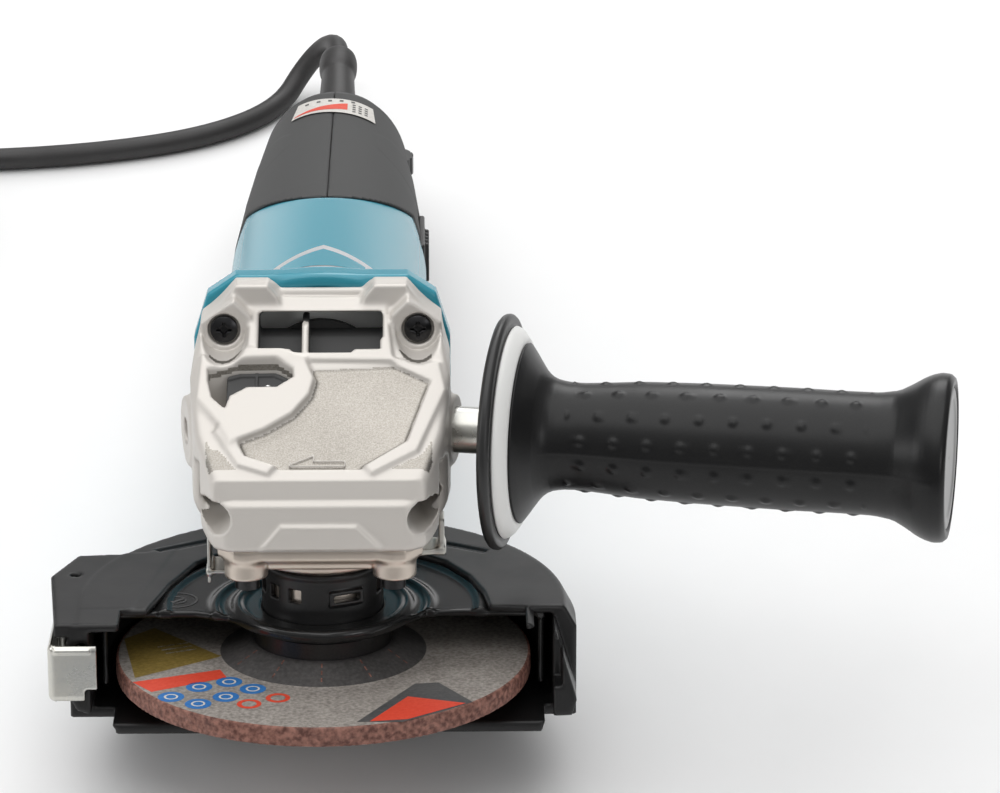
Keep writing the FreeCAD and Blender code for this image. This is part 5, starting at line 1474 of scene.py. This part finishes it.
@dataclass
class GuardLatch:
    """The lever that locks the band, and the bracket opposite it."""

    def build(self) -> None:
        """Make both pressings with rounded edges."""
        arm = Form.plate([(20.4, -2), (26, -4), (36.6, -1.5), (36.6, 6.5), (29, 12), (21, 11)], 30.9, 32.7,
                         rounding=0.3)
        tab = Form.block((34.9, -1.5, 30.9), (36.6, 6.5, 42), 0.5)
        lever = arm.joined(tab, fillet=2.0).without(Form.rod(2.56, 28, 35, (24.5, 6)), fillet=0.1)
        add_form("band_lever", lever, (20, -4.5, 30.5), (37, 12.5, 42.5), 0.32, "lever", "zinc", ZINC,
                 ["guard_lever"])
        stem = Form.block((-33.4, -20, 31.8), (-32.4, -8, 42.8), 0.35)
        leg = Form.block((-33.4, -20, 29), (-32.4, -12, 33), 0.35)
        foot = Form.block((-33.4, -20, 31.8), (-24.5, -8, 33), 0.4)
        bracket = stem.joined(leg, foot, fillet=1.2)
        add_form("band_bracket", bracket, (-34, -20.5, 28.5), (-24, -7.5, 43.3), 0.3, "tool", "zinc", ZINC,
                 ["guard_bracket"])


# ---------------------------------------------------------------- lead


@dataclass
class Lead:
    """The rubber lead: it leaves its sleeve behind the tail, drops to the bench and runs off to the left.

    The length that isn't laid out is wound in a coil of flat layers, and the plug lies beside it.

    Args:
        radius: of the cord, in metres.
        length: of the whole lead, in metres; not used.
        coil_radius: of the coil's middle turn, in metres.
        turns: how many turns the coil has.
    """

    radius: float = 0.0039
    length: float = 2.5
    coil_radius: float = 0.043
    turns: int = 8
    points_per_turn: int = 16

    def bench_zero(self) -> np.ndarray:
        """Where the bench frame's zero is: under the tool's zero point."""
        return np.array([TOOL.shift[0], TOOL.shift[1], 0.0])

    def sleeve_end(self) -> tuple[np.ndarray, np.ndarray]:
        """The middle of the sleeve's end face and the direction in which the cord leaves it."""
        way = sleeve_axes()[2]
        return TOOL.place(np.array(SLEEVE_ROOT) + SLEEVE_LENGTH * way), TOOL.turn(way)

    def laid_route(self) -> np.ndarray:
        """The listed points of the stretch that isn't coiled, in the row's frame."""
        start, way = self.sleeve_end()
        low = self.radius + 0.0001
        laid = np.array([
            (-0.0035, 0.3703, 0.0236), (-0.0092, 0.3739, 0.0162), (-0.0150, 0.3713, 0.0090),
            (-0.0200, 0.3633, low + 0.0001), (-0.0285, 0.3518, low), (-0.0425, 0.3418, low + 0.00005),
            (-0.0610, 0.3340, low), (-0.0870, 0.3278, low + 0.00005), (-0.1180, 0.3239, low),
            (-0.1500, 0.3229, low + 0.00005)])
        return np.vstack([start, start + 0.0098 * way, laid + self.bench_zero()])

    def coil_route(self) -> np.ndarray:
        """The coil's turns: circles walked anticlockwise from the rear, each a diameter off its neighbours.

        The lowest layer goes from the outer turn inwards, the next outwards and so on, so that the
        turns lie beside and on each other.
        """
        middle = self.bench_zero() + np.array([-0.185, 0.280, 0.0])
        pitch = 2 * self.radius * 1.04
        lanes = [0, -1, -1, 0, 1, 1, 0, -1]
        layers = [0, 0, 1, 1, 1, 0, 2, 2]
        steps = self.turns * self.points_per_turn + self.points_per_turn // 4
        count = np.arange(1, steps + 1)
        turn = count / self.points_per_turn
        whole = np.minimum(turn.astype(int), self.turns - 1)
        share = np.clip((turn - whole - 0.75) / 0.25, 0, 1)
        ease = share * share * (3 - 2 * share)
        lane_values = np.array(lanes + [lanes[-1]], float)
        layer_values = np.array(layers + [layers[-1]], float)
        lane = lane_values[whole] * (1 - ease) + lane_values[whole + 1] * ease
        layer = layer_values[whole] * (1 - ease) + layer_values[whole + 1] * ease
        angle = math.pi / 2 + 2 * math.pi * turn
        r = self.coil_radius + pitch * lane
        z = self.radius + 0.0001 + 0.87 * pitch * layer
        return np.stack([middle[0] + r * np.cos(angle), middle[1] + r * np.sin(angle), z], axis=1)

    def plug_route(self, last: np.ndarray) -> np.ndarray:
        """From the coil's leftmost point forwards and down into the plug's nose."""
        nose = self.bench_zero() + np.array([-0.230, 0.246, 0.0186])
        gap = nose - last
        return np.array([last + 0.45 * gap * [0.2, 1, 0.6], nose + [0, 0.006, 0.0002], nose - [0, 0.004, 0]])

    def plug(self) -> bpy.types.Object:
        """The moulded plug, turned about an axis that points forwards: a ribbed neck and a round body."""
        profile = [(0, 0), (5.6, 0), (6.4, 1.4), (6.5, 4.6), (5.9, 5.4), (5.9, 7), (7.2, 7.8), (8.0, 10.2),
                   (7.4, 11), (7.4, 12.4), (9.3, 13.2), (10.4, 16), (12.8, 20.6), (16.6, 23), (18.2, 26),
                   (18.5, 32), (18.1, 33), (18.1, 34.4), (18.5, 35.4), (18.1, 36.4), (18.1, 37.8),
                   (18.5, 38.8), (18.3, 46), (17.4, 49.4), (16.4, 50), (12.4, 50), (12.0, 49.2), (0, 49.2)]
        points, faces = lathe(profile, 96, 1.0, 0.5)
        axes = np.array([[1.0, 0.0, 0.0], [0.0, 0.0, 1.0], [0.0, -1.0, 0.0]])
        placed = points @ axes / 1000 + self.bench_zero() + [-0.230, 0.246, 0.0186]
        return add_piece("moulded_plug", placed, faces, "tool", "rubber", LEAD_RUBBER, ["mains_plug"], True)

    def build(self) -> None:
        laid, coil = self.laid_route(), self.coil_route()
        route = np.vstack([laid, coil, self.plug_route(coil[-1])])
        curve = bpy.data.curves.new("lead", "CURVE")
        curve.dimensions = "3D"
        spline = curve.splines.new("NURBS")
        spline.points.add(len(route) - 1)
        spline.points.foreach_set("co", np.hstack([route, np.ones((len(route), 1))]).ravel())
        spline.order_u = 3
        spline.use_endpoint_u = True
        spline.resolution_u = 8
        curve.bevel_depth = self.radius
        curve.bevel_resolution = 6
        curve.use_fill_caps = True
        curve.materials.append(LEAD_RUBBER.material())
        cord = bpy.data.objects.new("lead", curve)
        bpy.context.scene.collection.objects.link(cord)
        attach(cord, "tool")
        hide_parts("supply_cord", "cord_coil")
        start, _ = self.sleeve_end()
        plug = self.plug()
        tuple(start)
        LOG.info("lead: %d control points", len(route))


# ---------------------------------------------------------------- camera, floor and light


@dataclass
class Studio:
    """A pale floor, soft light from above and the camera in front of and above the disc.

    Args:
        camera: its place in the tool's frame, in millimetres.
        azimuth, elevation: where it looks, in degrees, in the tool's frame.
        lens: its focal length in millimetres on a 36 mm sensor.
    """

    camera: Triple = (31.13, -1265.63, 497.26)
    azimuth: float = -1.0
    elevation: float = 18.2476
    lens: float = 162.0

    def build(self) -> None:
        """Set up everything that isn't part of the object."""
        self.place_camera()
        self.lay_floor()
        self.light("key_light", (-0.25, 0.15, 1.6), 2.2, 24)
        self.light("fill_light", (0.9, -1.1, 0.7), 0.5, 2.0)
        self.light("rear_light", (0.2, 1.4, 0.9), 0.8, 7)
        self.light("side_light", (-1.4, -0.3, 0.6), 0.5, 3)
        world = bpy.data.worlds.new("pale_room")
        world.use_nodes = True
        nodes, link = world.node_tree.nodes, world.node_tree.links.new
        place = nodes.new("ShaderNodeTexCoord")
        split = nodes.new("ShaderNodeSeparateXYZ")
        ramp = nodes.new("ShaderNodeValToRGB")
        ramp.color_ramp.elements[0].position, ramp.color_ramp.elements[1].position = 0.05, 0.75
        ramp.color_ramp.elements[0].color = (0.16, 0.16, 0.165, 1)
        ramp.color_ramp.elements[1].color = (1, 1, 1, 1)
        link(place.outputs["Generated"], split.inputs["Vector"])
        link(split.outputs["Z"], ramp.inputs["Fac"])
        link(ramp.outputs["Color"], nodes["Background"].inputs["Color"])
        nodes["Background"].inputs["Strength"].default_value = 0.55
        bpy.context.scene.world = world
        bpy.context.scene.view_settings.view_transform = "Standard"

    def place_camera(self) -> None:
        """Put the camera at its place, looking the way that its two angles give."""
        a, e = math.radians(self.azimuth), math.radians(self.elevation)
        ahead = TOOL.turn(np.array([-math.sin(a) * math.cos(e), math.cos(a) * math.cos(e), -math.sin(e)]))
        right = TOOL.turn(np.array([math.cos(a), math.sin(a), 0]))
        up = np.cross(right, ahead)
        data = bpy.data.cameras.new("camera")
        data.sensor_width = 36.0
        data.lens = self.lens
        data.clip_start, data.clip_end = 0.05, 20
        camera = bpy.data.objects.new("camera", data)
        matrix = np.eye(4)
        matrix[:3, 0], matrix[:3, 1], matrix[:3, 2] = right, up, -ahead
        matrix[:3, 3] = TOOL.place(np.array(self.camera))
        camera.matrix_world = Matrix(matrix.tolist())
        bpy.context.scene.collection.objects.link(camera)
        bpy.context.scene.camera = camera

    def lay_floor(self) -> None:
        """A flat square, far wider than the view."""
        size = 6.0
        mesh = bpy.data.meshes.new("floor")
        mesh.from_pydata([(-size, -size, 0), (size, -size, 0), (size, size, 0), (-size, size, 0)], [],
                         [(0, 1, 2, 3)])
        mesh.materials.append(PALE_FLOOR.material())
        floor = bpy.data.objects.new("floor", mesh)
        bpy.context.scene.collection.objects.link(floor)

    def light(self, name: str, place: Triple, width: float, power: float) -> None:
        """A square soft light that faces the tool."""
        data = bpy.data.lights.new(name, "AREA")
        data.size = width
        data.energy = power
        lamp = bpy.data.objects.new(name, data)
        away = np.array(place)
        away = away / np.linalg.norm(away)
        side = np.cross([0.0, 0.0, 1.0], away)
        side = side / np.linalg.norm(side)
        matrix = np.eye(4)
        matrix[:3, 0], matrix[:3, 1], matrix[:3, 2] = side, np.cross(away, side), away
        matrix[:3, 3] = place
        lamp.matrix_world = Matrix(matrix.tolist())
        bpy.context.scene.collection.objects.link(lamp)


# ---------------------------------------------------------------- main


def dress_nodes() -> None:
    """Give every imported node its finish, in place of the plain one that it comes with."""
    for name, finish in NODE_FINISH.items():
        mesh = frame["nodes"][name].data
        mesh.materials.clear()
        mesh.materials.append(finish.material())


def main() -> None:
    """Build the sub-assemblies in order."""
    logging.basicConfig(level=logging.INFO, format="%(name)s: %(message)s")
    dress_nodes()
    for part in (Lead(), Studio(), GearHousing(), BearingBox(), HousingScrews(), ShaftLock(), MotorHousing(),
                 Tail(), Controls(), SideHandle(), GrindingDisc(), WheelGuard(), CuttingCover(), CoverClip(),
                 GuardLatch()):
        part.build()
        LOG.info("%s done", type(part).__name__)


if __name__ == "__main__":
    main()
